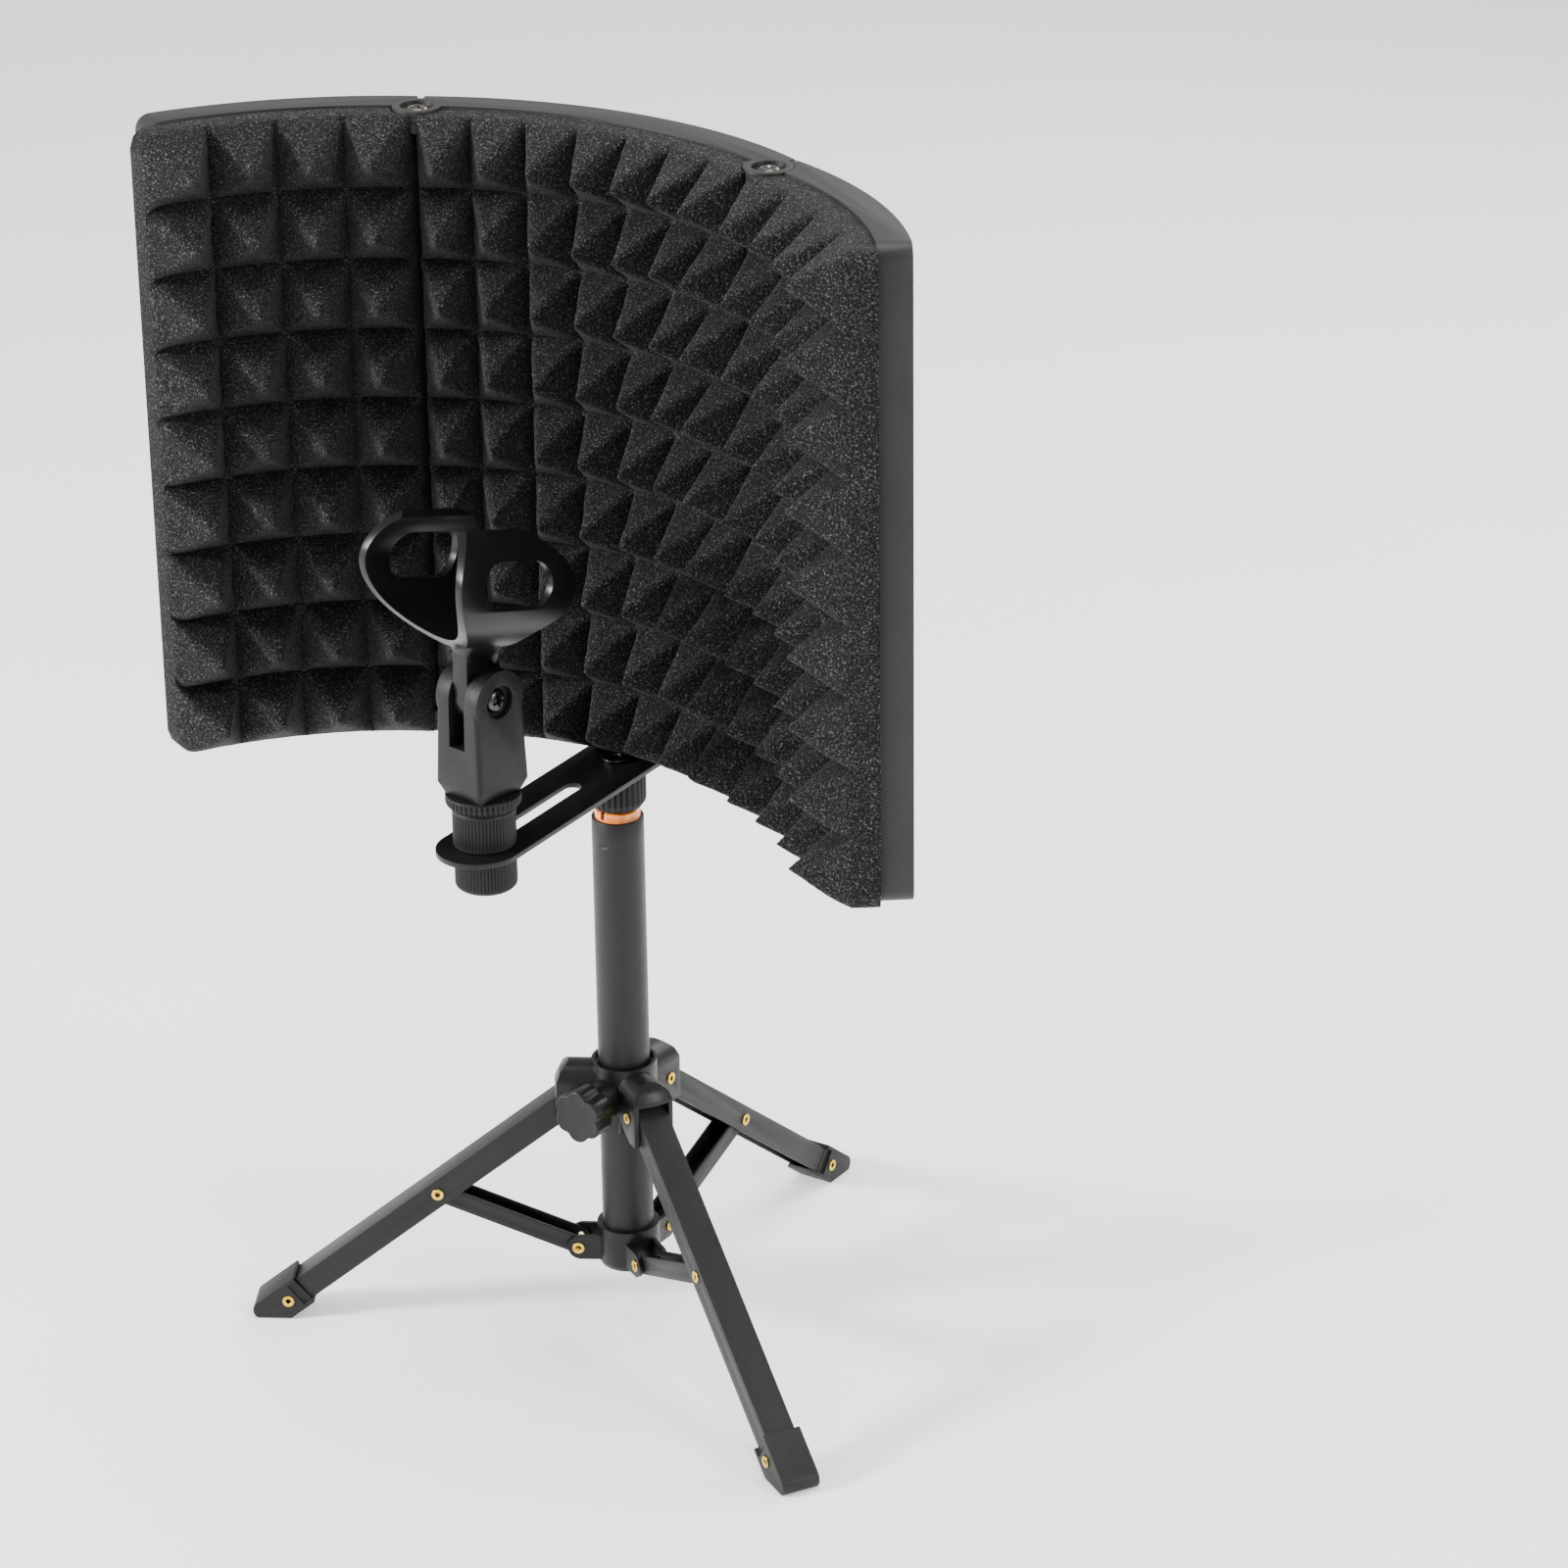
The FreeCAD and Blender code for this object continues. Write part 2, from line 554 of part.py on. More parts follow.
parts["clamp_knob"] = turn(knob_shape.removeSplitter(), leg_turn)


# ---------------------------------------------------------------- legs, feet and braces
def channel(width, depth, wall, start, end, open_side):
    """A U-channel along -Z. Its pivot line is on the Z axis; open_side is -1 or +1 along X."""
    outer = box(-depth / 2, depth / 2, -width / 2, width / 2, -end, -start)
    inner = box(-depth / 2 - (1 if open_side < 0 else -wall), depth / 2 + (1 if open_side > 0 else -wall),
                -width / 2 + wall, width / 2 - wall, -end - 1, -start + 1)
    return outer.cut(inner)


def round_end(shape, depth, width, at, up):
    """Rounds a channel's end about a pivot at distance `at`."""
    keep = rod_along(depth / 2, (0, -width, -at), (0, width, -at))
    if up:
        keep = keep.fuse(box(-depth, depth, -width, width, -1000, -at))
    else:
        keep = keep.fuse(box(-depth, depth, -width, width, -at, 1000))
    return shape.common(keep)


def cross_pin(half, at, head_out):
    """A hollow rivet across a channel, from -half to +half along Y, with a head at each end."""
    pin = rod_along(rivet_r, (0, -half, -at), (0, half, -at))
    for side in (-1, 1):
        pin = pin.fuse(rod_along(rivet_head_r, (0, side * half, -at), (0, side * (half + head_out), -at)))
    return pin.cut(rod_along(rivet_bore, (0, -60, -at), (0, 60, -at))).removeSplitter()


leg = channel(leg_width, leg_depth, leg_wall, -leg_depth / 2, leg_length + leg_tail, -1)
leg = round_end(leg, leg_depth, leg_width, 0, True)
leg = leg.cut(rod_along(rivet_r + pin_gap, (0, -30, 0), (0, 30, 0)))
for at in (brace_from, leg_length):
    leg = leg.cut(rod_along(rivet_r, (0, -30, -at), (0, 30, -at)))
foot_half = foot_width / 2
foot_round = 5.0
foot_end = -leg_length - foot_tip
foot = box(-foot_depth / 2, foot_depth / 2, -foot_half, foot_half, foot_end, -leg_length + foot_back)
for side in (-1, 1):
    x0, x1 = side * (foot_depth / 2 - foot_round), side * (foot_depth / 2 + 1)
    corner = box(min(x0, x1), max(x0, x1), -30, 30, foot_end - 1, foot_end + foot_round)
    centre = (x0, foot_end + foot_round)
    round_rod = rod_along(foot_round, (centre[0], -31, centre[1]), (centre[0], 31, centre[1]))
    foot = foot.cut(corner.cut(round_rod))
socket = box(-leg_depth / 2, leg_depth / 2, -leg_width / 2, leg_width / 2, -leg_length - leg_tail, 0)
foot = foot.cut(socket).cut(rod_along(rivet_r, (0, -30, -leg_length), (0, 30, -leg_length)))
leg_pins = [cross_pin(leg_width / 2, brace_from, rivet_head), cross_pin(foot_half, leg_length, rivet_head)]
brace_leg_radius = leg_pivot_r + brace_from * sin(radians(leg_angle))
brace_leg_z = leg_pivot_z - brace_from * cos(radians(leg_angle))
brace_length = sqrt((brace_leg_radius - brace_pivot_r) ** 2 + (brace_leg_z - brace_pivot_z) ** 2)
brace_angle = degrees(atan2(brace_leg_radius - brace_pivot_r, brace_leg_z - brace_pivot_z))
brace = channel(brace_width, brace_depth, brace_wall, -brace_depth / 2, brace_length + brace_depth / 2, -1)
brace = round_end(brace, brace_depth, brace_width, 0, True)
brace = round_end(brace, brace_depth, brace_width, brace_length, False)
for at in (0.0, brace_length):
    brace = brace.cut(rod_along(rivet_r + pin_gap, (0, -30, -at), (0, 30, -at)))
Y_AXIS = Vector(0, 1, 0)
floor_cut = box(-400, 400, -400, 400, -60, 0)
for name in leg_names:
    # local +X points outward; a leg at azimuth 0 points to -Y
    azimuth = leg_azimuths[name] - 90.0
    out = Vector(leg_pivot_r, 0, leg_pivot_z)

    def place_leg(shape):
        return turn(shift(turn(shape, -leg_angle, ORIGIN, Y_AXIS), out.x, 0, out.z), azimuth)

    parts["leg_" + name] = place_leg(leg)
    parts["foot_" + name] = place_leg(foot).cut(floor_cut)
    parts["leg_rivets_" + name] = compound(place_leg(p) for p in leg_pins)
    braced = turn(brace, brace_angle, ORIGIN, Y_AXIS)
    parts["brace_" + name] = turn(shift(braced, brace_leg_radius, 0, brace_leg_z), azimuth)


# ---------------------------------------------------------------- microphone holder
def place_holder(shape):
    return shift(turn(shape, holder_turn), 0, slot_front, 0)


lower_bottom = plate_bottom - 0.05 - lower_nut_height
lower_nut = turned([(0, lower_bottom), (lower_nut_r - 1.4, lower_bottom), (lower_nut_r, lower_bottom + 1.4),
                    (lower_nut_r, plate_bottom - 0.05), (stud_r + pin_gap, plate_bottom - 0.05),
                    (stud_r + pin_gap, lower_bottom + 4), (0, lower_bottom + 4)])
parts["mic_lower_nut"] = place_holder(lower_nut)
sleeve_low = plate_top + 0.05
sleeve_high = sleeve_low + sleeve_height
stud_shoulder = sleeve_low + 1.0
stud_top = yoke_bottom + 14.0
stud = turned([(0, lower_bottom + 4.5), (stud_r, lower_bottom + 4.5), (stud_r, stud_shoulder),
               (thread_r, stud_shoulder), (thread_r, stud_top), (0, stud_top)])
parts["mic_stud"] = place_holder(stud)
sleeve = turned([(stud_r + 0.3, sleeve_low), (sleeve_r, sleeve_low), (sleeve_r, sleeve_high),
                 (thread_r + pin_gap, sleeve_high), (thread_r + pin_gap, stud_shoulder - 0.1),
                 (stud_r + 0.3, stud_shoulder - 0.1)])
parts["mic_sleeve_nut"] = place_holder(sleeve)
ring_low = sleeve_high + 0.1
ring_high = yoke_bottom - 0.1
ring = turned([(thread_r + pin_gap, ring_low), (sleeve_r + 0.4, ring_low), (ring_r, ring_low + 3.0),
               (ring_r, ring_high), (thread_r + pin_gap, ring_high)])
parts["mic_lock_ring"] = place_holder(ring)


def rounded_loop(width, depth, z, radius=2.5):
    """A rectangle with rounded corners, as a closed wire at height z."""
    x, y, r = width / 2, depth / 2, radius
    k = r * (1 - sqrt(0.5))
    edges = []
    corners = ((x, y, 1, 1), (-x, y, -1, 1), (-x, -y, -1, -1), (x, -y, 1, -1))
    for i, (cx, cy, sx, sy) in enumerate(corners):
        a = Vector(cx, cy - sy * r, z)
        b = Vector(cx - sx * r, cy, z)
        m = Vector(cx - sx * k, cy - sy * k, z)
        first, last = (a, b) if i % 2 == 0 else (b, a)
        edges.append(Part.Arc(first, m, last).toShape())
        nx, ny, nsx, nsy = corners[(i + 1) % 4]
        if (i + 1) % 2 == 0:
            target = Vector(nx, ny - nsy * r, z)
        else:
            target = Vector(nx - nsx * r, ny, z)
        edges.append(Part.makeLine(last, target))
    return Part.Wire(edges)


shoulder_z = yoke_bottom + 6.0
yoke = Part.makeLoft([rounded_loop(yoke_width - 5, yoke_depth - 5, yoke_bottom),
                      rounded_loop(yoke_width, yoke_depth, shoulder_z)], True, True)
yoke = yoke.fuse(Part.makeLoft([rounded_loop(yoke_width, yoke_depth, shoulder_z),
                                rounded_loop(yoke_neck_width, 2 * yoke_top_r, pivot_z)], True, True))
yoke = yoke.fuse(rod_along(yoke_top_r, (-yoke_neck_width / 2, 0, pivot_z), (yoke_neck_width / 2, 0, pivot_z)))
slot_half = yoke_slot / 2
yoke = yoke.cut(box(-slot_half, slot_half, -40, 40, yoke_slot_floor, pivot_z + 40))
insert_r = thread_r + 1.8
yoke = yoke.cut(rod(insert_r, yoke_bottom - 1, yoke_bottom + 16))
screw_head_r, screw_head_h, sink_depth, sink_r = 5.6, 2.8, 3.6, 8.0
face_x = yoke_neck_width / 2
yoke = yoke.cut(rod_along(pivot_screw_r, (-40, 0, pivot_z), (40, 0, pivot_z)))
yoke = yoke.cut(rod_along(sink_r, (face_x - sink_depth, 0, pivot_z), (face_x + 9, 0, pivot_z)))
yoke = yoke.cut(rod_along(sink_r - 2, (-face_x + sink_depth, 0, pivot_z), (-face_x - 9, 0, pivot_z)))
parts["clip_yoke"] = place_holder(yoke.removeSplitter())
insert = pipe(insert_r, thread_r + pin_gap, yoke_bottom, yoke_bottom + 15.8)
parts["yoke_insert"] = place_holder(insert)
head_x = face_x - sink_depth
pivot_screw = rod_along(screw_head_r, (head_x, 0, pivot_z), (head_x + screw_head_h, 0, pivot_z)).fuse(
    rod_along(pivot_screw_r, (-head_x - 3.0, 0, pivot_z), (head_x, 0, pivot_z)))
pivot_screw = pivot_screw.cut(rod_along(1.8, (head_x + 1.0, 0, pivot_z), (head_x + 9, 0, pivot_z)))
parts["clip_pivot_screw"] = place_holder(pivot_screw.removeSplitter())
hexagon = [(-head_x, 4.6 * cos(pi * i / 3), pivot_z + 4.6 * sin(pi * i / 3)) for i in range(6)]
pivot_nut = extrude(hexagon, (-3.2, 0, 0)).cut(rod_along(pivot_screw_r, (-40, 0, pivot_z), (0, 0, pivot_z)))
parts["clip_pivot_nut"] = place_holder(pivot_nut)

# the clip in its own frame: pivot at the origin, barrel axis along Y
clip_outer_r = clip_inner_r + clip_wall
shell = rod_along(clip_outer_r, (0, clip_front, clip_height), (0, clip_rear, clip_height))
mouth_reach = 2 * clip_outer_r
mouth_x = mouth_reach * tan(radians(clip_mouth))
mouth = extrude([(0, clip_front - 5, clip_height), (mouth_x, clip_front - 5, clip_height + mouth_reach),
                 (-mouth_x, clip_front - 5, clip_height + mouth_reach)], (0, clip_rear - clip_front + 10, 0))
low_z = clip_height - clip_outer_r - 2
top_z = clip_height + clip_outer_r * cos(radians(clip_mouth))
spine_front, spine_rear = -21.0, 1.5


def curve(points):
    """A smooth curve through (y, z) points in the plane x = 0."""
    spline = Part.BSplineCurve()
    spline.interpolate([Vector(0, y, z) for y, z in points])
    return spline.toShape()


# the side view of the barrel: a leaf that leans forward, flat on top
belly_z = clip_height + 2.5
front_top, rear_top = (clip_front + 14, top_z + 4), (clip_front + 37, top_z + 4)
front_foot, rear_foot = (spine_front, low_z), (spine_rear, low_z)
front_edge = curve([front_top, (clip_front + 4, top_z - 9), (clip_front, belly_z),
                    (clip_front + 4.2, belly_z - 11), (clip_front + 20.2, belly_z - 27), front_foot])
rear_edge = curve([rear_foot, (spine_rear + 1, belly_z - 24), (clip_rear - 4, belly_z - 15),
                   (clip_rear, belly_z - 4), (clip_rear - 3, belly_z + 7), (clip_rear - 17, top_z - 5), rear_top])
outline = Part.Wire([front_edge, Part.makeLine(Vector(0, *front_foot), Vector(0, *rear_foot)),
                     rear_edge, Part.makeLine(Vector(0, *rear_top), Vector(0, *front_top))])
petal = shift(Part.Face(outline).extrude(Vector(100, 0, 0)), x=-50)
barrel_bore = rod_along(clip_inner_r, (0, clip_front - 5, clip_height), (0, clip_rear + 5, clip_height))
tongue_half = yoke_slot / 2 - 0.35
tongue = rod_along(tongue_r, (-tongue_half, 0, 0), (tongue_half, 0, 0))
keel_high = clip_height - clip_inner_r - 1.0
keel = extrude([(-tongue_half, -tongue_r, 0), (-tongue_half, spine_front + 2, keel_high),
                (-tongue_half, spine_rear, keel_high), (-tongue_half, tongue_r - 2, 0)],
               (2 * tongue_half, 0, 0))
hole_half = (clip_hole_length - clip_hole_height) / 2
hole_r = clip_hole_height / 2
through = 60.0
holes = box(-through, through, clip_hole_y - hole_half, clip_hole_y + hole_half,
            clip_hole_z - hole_r, clip_hole_z + hole_r)
for y in (clip_hole_y - hole_half, clip_hole_y + hole_half):
    holes = holes.fuse(cross_rod(hole_r, -through, through, y, clip_hole_z))
clip = shell.common(petal).fuse(keel).fuse(tongue).cut(barrel_bore).cut(mouth).cut(holes)
clip = clip.cut(rod_along(pivot_screw_r + pin_gap, (-20, 0, 0), (20, 0, 0))).removeSplitter()
clip = turn(clip, -clip_tilt, ORIGIN, Vector(1, 0, 0))
parts["mic_clip"] = place_holder(shift(clip, z=pivot_z))

# ---------------------------------------------------------------- output
os.makedirs("parts", exist_ok=True)
for name, shape in parts.items():
    for solid in shape.Solids:
        if not solid.isValid() or solid.Volume <= 0:
            print("bad solid in", name)
    result = shape.Solids[0] if len(shape.Solids) == 1 else Part.makeCompound(shape.Solids)
    result.exportStep("parts/" + name + ".step")
print(len(parts), "nodes")
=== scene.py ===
import json
from math import atan2, cos, exp, log, pi, radians, sin, sqrt, tan

import bmesh
import bpy
from mathutils import Matrix, Vector, noise

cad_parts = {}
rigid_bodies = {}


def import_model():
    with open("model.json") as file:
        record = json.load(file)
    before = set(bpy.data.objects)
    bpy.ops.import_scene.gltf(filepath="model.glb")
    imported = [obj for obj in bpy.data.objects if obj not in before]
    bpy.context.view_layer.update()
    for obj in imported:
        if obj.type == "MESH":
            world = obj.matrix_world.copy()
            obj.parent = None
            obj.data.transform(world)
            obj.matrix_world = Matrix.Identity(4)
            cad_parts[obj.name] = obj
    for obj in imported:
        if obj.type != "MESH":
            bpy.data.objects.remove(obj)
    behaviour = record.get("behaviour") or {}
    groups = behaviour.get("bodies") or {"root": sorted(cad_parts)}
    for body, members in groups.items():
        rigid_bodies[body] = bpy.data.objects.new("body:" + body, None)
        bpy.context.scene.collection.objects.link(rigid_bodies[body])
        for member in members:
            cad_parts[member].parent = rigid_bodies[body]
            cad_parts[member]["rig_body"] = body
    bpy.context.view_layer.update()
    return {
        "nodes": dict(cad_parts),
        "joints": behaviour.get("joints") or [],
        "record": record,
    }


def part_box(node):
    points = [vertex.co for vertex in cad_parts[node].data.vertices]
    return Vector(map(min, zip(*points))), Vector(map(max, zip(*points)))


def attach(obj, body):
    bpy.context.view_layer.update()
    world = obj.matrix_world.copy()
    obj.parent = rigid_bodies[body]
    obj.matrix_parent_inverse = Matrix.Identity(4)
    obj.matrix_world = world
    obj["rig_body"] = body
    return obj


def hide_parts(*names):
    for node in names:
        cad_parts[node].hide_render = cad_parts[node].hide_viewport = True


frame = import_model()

# Microphone isolation shield. Metres, in the frame of the CAD model: +Z up, the mast on the Z axis,
# the microphone side towards -Y.

MM = 0.001
JOINTS = {joint["name"]: joint for joint in frame["joints"]}
slots = {part["node"]: part["material_slot"] for part in frame["record"]["subparts"]}

# ---------------------------------------------------------------- sizes, in millimetres
arc_radius = 219.6           # back face of the panels
arc_centre_y = -189.4
frame_depth = 15.5
frame_bar = 12.0             # width of the bars round a panel's window
inner_radius = arc_radius - frame_depth
hinge_angle = 27.8           # degrees from the middle of the shield to a seam
end_angle = 63.2             # degrees from the middle of the shield to a free end
panel_turns = {"centre": 0.0, "left": -3.1, "right": 9.0}

foam_base = 13.0             # the solid part of a pad
valley_radius = inner_radius - foam_base
pyramid_height = 29.0
foam_overhang = 9.2          # past the frame's free end
foam_corner = 9.0
foam_rows = 9
cells_up = 22                # mesh cells up each pyramid
pad_bottom_gap = 0.5
pad_top_gap = 1.2
plug_gap = 0.5               # between the pad and the edge of the frame's window
plug_slack = 0.004           # the same sideways, in radians
seam_slope = tan(radians(6.0))

sheet_inset = 6.5            # from the panel's back face to the sheet
sheet_thickness = 1.0
sheet_outer = arc_radius - sheet_inset
sheet_inner = sheet_outer - sheet_thickness
groove_depth = 4.0           # the sheet's edge inside the frame's groove
hole_pitch = 9.0
hole_radius = 2.6
row_pitch = 0.87             # of the pitch, for staggered rows

lug_depth = 11.2             # the height that a hinge's lugs take from a pad
lug_clearance = 12.2
plug_rise = 4.0              # how far a cutter reaches past the pad

holder_pan = -11.0           # degrees, how the microphone holder stands at rest
clip_tilt = -15.0
leg_turn = -1.9


def joint_place(name):
    return Vector(JOINTS[name]["pos_m"])


shield_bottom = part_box("centre_frame")[0].z / MM
shield_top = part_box("centre_frame")[1].z / MM
hinge_x = joint_place("right_fold").x / MM
hinge_y = joint_place("right_fold").y / MM


# ---------------------------------------------------------------- mesh helpers
def new_object(name, verts, faces, scale=MM):
    mesh = bpy.data.meshes.new(name)
    mesh.from_pydata([tuple(c * scale for c in v) for v in verts], [], faces)
    obj = bpy.data.objects.new(name, mesh)
    bpy.context.scene.collection.objects.link(obj)
    return obj


def edit(obj, work):
    """Runs work(bm) on an object's mesh."""
    bm = bmesh.new()
    bm.from_mesh(obj.data)
    work(bm)
    bm.to_mesh(obj.data)
    bm.free()


def tidy(bm):
    bmesh.ops.remove_doubles(bm, verts=bm.verts, dist=1e-6)
    bmesh.ops.recalc_face_normals(bm, faces=bm.faces)


def apply_modifiers(obj):
    bpy.context.view_layer.update()
    evaluated = obj.evaluated_get(bpy.context.evaluated_depsgraph_get())
    mesh = bpy.data.meshes.new_from_object(evaluated)
    old = obj.data
    obj.modifiers.clear()
    obj.data = mesh
    bpy.data.meshes.remove(old)


def bevel(obj, width, segments=3, angle=35.0):
    """Rounds an object's sharp edges; width in millimetres."""
    modifier = obj.modifiers.new("bevel", "BEVEL")
    modifier.width = width * MM
    modifier.segments = segments
    modifier.limit_method = "ANGLE"
    modifier.angle_limit = radians(angle)
    modifier.use_clamp_overlap = True
    apply_modifiers(obj)


def subtract(obj, cutter):
    modifier = obj.modifiers.new("cut", "BOOLEAN")
    modifier.operation = "DIFFERENCE"
    modifier.solver = "EXACT"
    modifier.object = cutter
    apply_modifiers(obj)
    mesh = cutter.data
    bpy.data.objects.remove(cutter)
    bpy.data.meshes.remove(mesh)


def smooth(obj, angle=40.0):
    for polygon in obj.data.polygons:
        polygon.use_smooth = True
    obj.data.set_sharp_from_angle(angle=radians(angle))


def join(name, objects):
    """One object from several, each a closed shell of its own."""
    bm = bmesh.new()
    for obj in objects:
        bm.from_mesh(obj.data)
    mesh = bpy.data.meshes.new(name)
    bm.to_mesh(mesh)
    bm.free()
    for obj in objects:
        old = obj.data
        bpy.data.objects.remove(obj)
        bpy.data.meshes.remove(old)
    joined = bpy.data.objects.new(name, mesh)
    bpy.context.scene.collection.objects.link(joined)
    return joined


def place(obj, matrix):
    """Moves a mesh made about its own origin into the frame."""
    obj.data.transform(matrix)
    return obj


def stand_for(obj, material, *nodes, angle=40.0):
    """Gives a finished mesh its material and body, and hides the CAD nodes that it stands for."""
    edit(obj, tidy)
    smooth(obj, angle)
    obj.data.materials.clear()
    obj.data.materials.append(material)
    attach(obj, frame["nodes"][nodes[0]]["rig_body"])
    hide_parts(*nodes)
    return obj


def rings_to_faces(rings, count, closed=False):
    """Quads between rings of `count` vertices each, stored one ring after the other."""
    faces = []
    pairs = [(i, i + 1) for i in range(rings - 1)]
    if closed:
        pairs.append((rings - 1, 0))
    for i, j in pairs:
        for k in range(count):
            n = (k + 1) % count
            faces.append((i * count + k, i * count + n, j * count + n, j * count + k))
    return faces


def groove(angle, count, width=0.22):
    """1 in the middle of each of `count` grooves round a turn, 0 between them.
    width is a share of the pitch."""
    phase = (angle * count / (2 * pi)) % 1.0
    offset = min(phase, 1.0 - phase)
    return exp(-((offset / width) ** 2))


def lathe(name, profile, segments=96, ribs=None, closed=False):
    """A solid of revolution about Z from (radius, z) points, axis points included.
    ribs = (count, depth, low z, high z) cuts grooves along the wall between two heights."""
    verts = []
    for radius, z in profile:
        for k in range(segments):
            a = 2 * pi * k / segments
            r = radius
            if ribs and ribs[2] <= z <= ribs[3]:
                r = radius - ribs[1] * groove(a, ribs[0])
            verts.append((r * cos(a), r * sin(a), z))
    return new_object(name, verts, rings_to_faces(len(profile), segments, closed))


def rounded(points, radius, steps=4):
    """Replaces each inner corner of an open line of (r, z) points by a small arc."""
    result = [points[0]]
    for before, corner, after in zip(points, points[1:], points[2:]):
        c = Vector(corner)
        to_before, to_after = Vector(before) - c, Vector(after) - c
        cut = min(radius, to_before.length * 0.45, to_after.length * 0.45)
        start, end = c + to_before.normalized() * cut, c + to_after.normalized() * cut
        for i in range(steps + 1):
            t = i / steps
            result.append(tuple(start * (1 - t) ** 2 + c * 2 * t * (1 - t) + end * t ** 2))
    result.append(points[-1])
    return result


def softened(name, width, material, segments=2, angle=35.0, cutters=()):
    """A CAD node with its sharp edges rounded, after any further cuts."""
    obj = bpy.data.objects.new(name + "_soft", frame["nodes"][name].data.copy())
    bpy.context.scene.collection.objects.link(obj)

    def clean(bm):
        bmesh.ops.remove_doubles(bm, verts=bm.verts, dist=2e-6)
        bmesh.ops.dissolve_limit(bm, angle_limit=radians(0.4), verts=bm.verts, edges=bm.edges)

    edit(obj, tidy)
    for cutter in cutters:
        subtract(obj, cutter)
    edit(obj, clean)
    bevel(obj, width, segments, angle)
    return stand_for(obj, material, name)


# ---------------------------------------------------------------- materials
def node(tree, kind, inputs=None, **settings):
    made = tree.nodes.new("ShaderNode" + kind)
    for key, value in settings.items():
        setattr(made, key, value)
    for key, value in (inputs or {}).items():
        made.inputs[key].default_value = value
    return made


def start_material(name, metallic=0.0, specular=0.5, coat=0.0, coat_roughness=0.1):
    material = bpy.data.materials.new(name)
    material.use_nodes = True
    tree = material.node_tree
    shader = tree.nodes["Principled BSDF"]
    shader.inputs["Metallic"].default_value = metallic
    shader.inputs["Specular IOR Level"].default_value = specular
    shader.inputs["Coat Weight"].default_value = coat
    shader.inputs["Coat Roughness"].default_value = coat_roughness
    coords = node(tree, "TexCoord").outputs["Object"]
    return material, tree, shader, coords


def ramp(tree, source, stops):
    """A colour ramp over (position, colour) stops."""
    made = node(tree, "ValToRGB")
    elements = made.color_ramp.elements
    while len(elements) < len(stops):
        elements.new(0.5)
    for element, (position, colour) in zip(elements, stops):
        element.position = position
        element.color = (*colour, 1.0)
    tree.links.new(source, made.inputs["Fac"])
    return made.outputs["Color"]


def noise_at(tree, coords, scale, detail=3.0, roughness=0.55):
    made = node(tree, "TexNoise", {"Scale": scale, "Detail": detail, "Roughness": roughness})
    tree.links.new(coords, made.inputs["Vector"])
    return made.outputs["Fac"]


def spread(tree, source, low, high, start=0.3, end=0.7):
    made = node(tree, "MapRange", {"From Min": start, "From Max": end, "To Min": low, "To Max": high})
    tree.links.new(source, made.inputs["Value"])
    return made.outputs["Result"]


def bumped(tree, shader, height, distance, strength=1.0, normal=None):
    made = node(tree, "Bump", {"Strength": strength, "Distance": distance})
    tree.links.new(height, made.inputs["Height"])
    if normal:
        tree.links.new(normal, made.inputs["Normal"])
    tree.links.new(made.outputs["Normal"], shader.inputs["Normal"])
    return made.outputs["Normal"]


def grey(value, warmth=0.0):
    return (value * (1 + warmth), value, value * (1 - warmth))


def coated(name, value, grain, grain_depth, rough, wear=0.25, specular=0.28, **shader_values):
    """A dark moulded or powder-coated surface: cloudy tone, uneven gloss and a fine grain."""
    material, tree, shader, coords = start_material(name, specular=specular, **shader_values)
    cloud = noise_at(tree, coords, 28.0, 4.0)
    fine = noise_at(tree, coords, grain, 2.0, 0.6)
    tone = ramp(tree, cloud, [(0.3, grey(value * (1 - wear))), (0.7, grey(value * (1 + wear)))])
    speckle = ramp(tree, fine, [(0.35, grey(0.75)), (0.65, grey(1.0))])
    mixed = node(tree, "Mix", data_type="RGBA", blend_type="MULTIPLY")
    mixed.inputs["Factor"].default_value = 1.0
    tree.links.new(tone, mixed.inputs[6])
    tree.links.new(speckle, mixed.inputs[7])
    tree.links.new(mixed.outputs[2], shader.inputs["Base Color"])
    tree.links.new(spread(tree, cloud, rough - 0.05, rough + 0.06), shader.inputs["Roughness"])
    bumped(tree, shader, fine, grain_depth)
    return material


def foam_material():
    """Open-cell foam: dark pores between strands that catch the light."""
    material, tree, shader, coords = start_material("foam_cells", specular=0.12)
    shader.inputs["Roughness"].default_value = 0.85
    shader.inputs["Sheen Weight"].default_value = 0.03
    shader.inputs["Sheen Roughness"].default_value = 0.5
    cells = node(tree, "TexVoronoi", {"Scale": 900.0, "Randomness": 1.0})
    tree.links.new(coords, cells.inputs["Vector"])
    grain = noise_at(tree, coords, 1000.0, 2.0, 0.8)
    cloud = noise_at(tree, coords, 60.0, 3.0)
    shades = [(0.4, 0.002), (0.5, 0.006), (0.6, 0.027), (0.72, 0.13)]
    strands = ramp(tree, grain, [(position, grey(value)) for position, value in shades])
    tone = ramp(tree, cloud, [(0.3, grey(0.8)), (0.7, grey(1.1))])
    mixed = node(tree, "Mix", data_type="RGBA", blend_type="MULTIPLY")
    mixed.inputs["Factor"].default_value = 1.0
    tree.links.new(strands, mixed.inputs[6])
    tree.links.new(tone, mixed.inputs[7])
    tree.links.new(mixed.outputs[2], shader.inputs["Base Color"])
    first = bumped(tree, shader, cells.outputs["Distance"], 0.0006, 0.7)
    bumped(tree, shader, grain, 0.0007, 0.9, first)
    return material


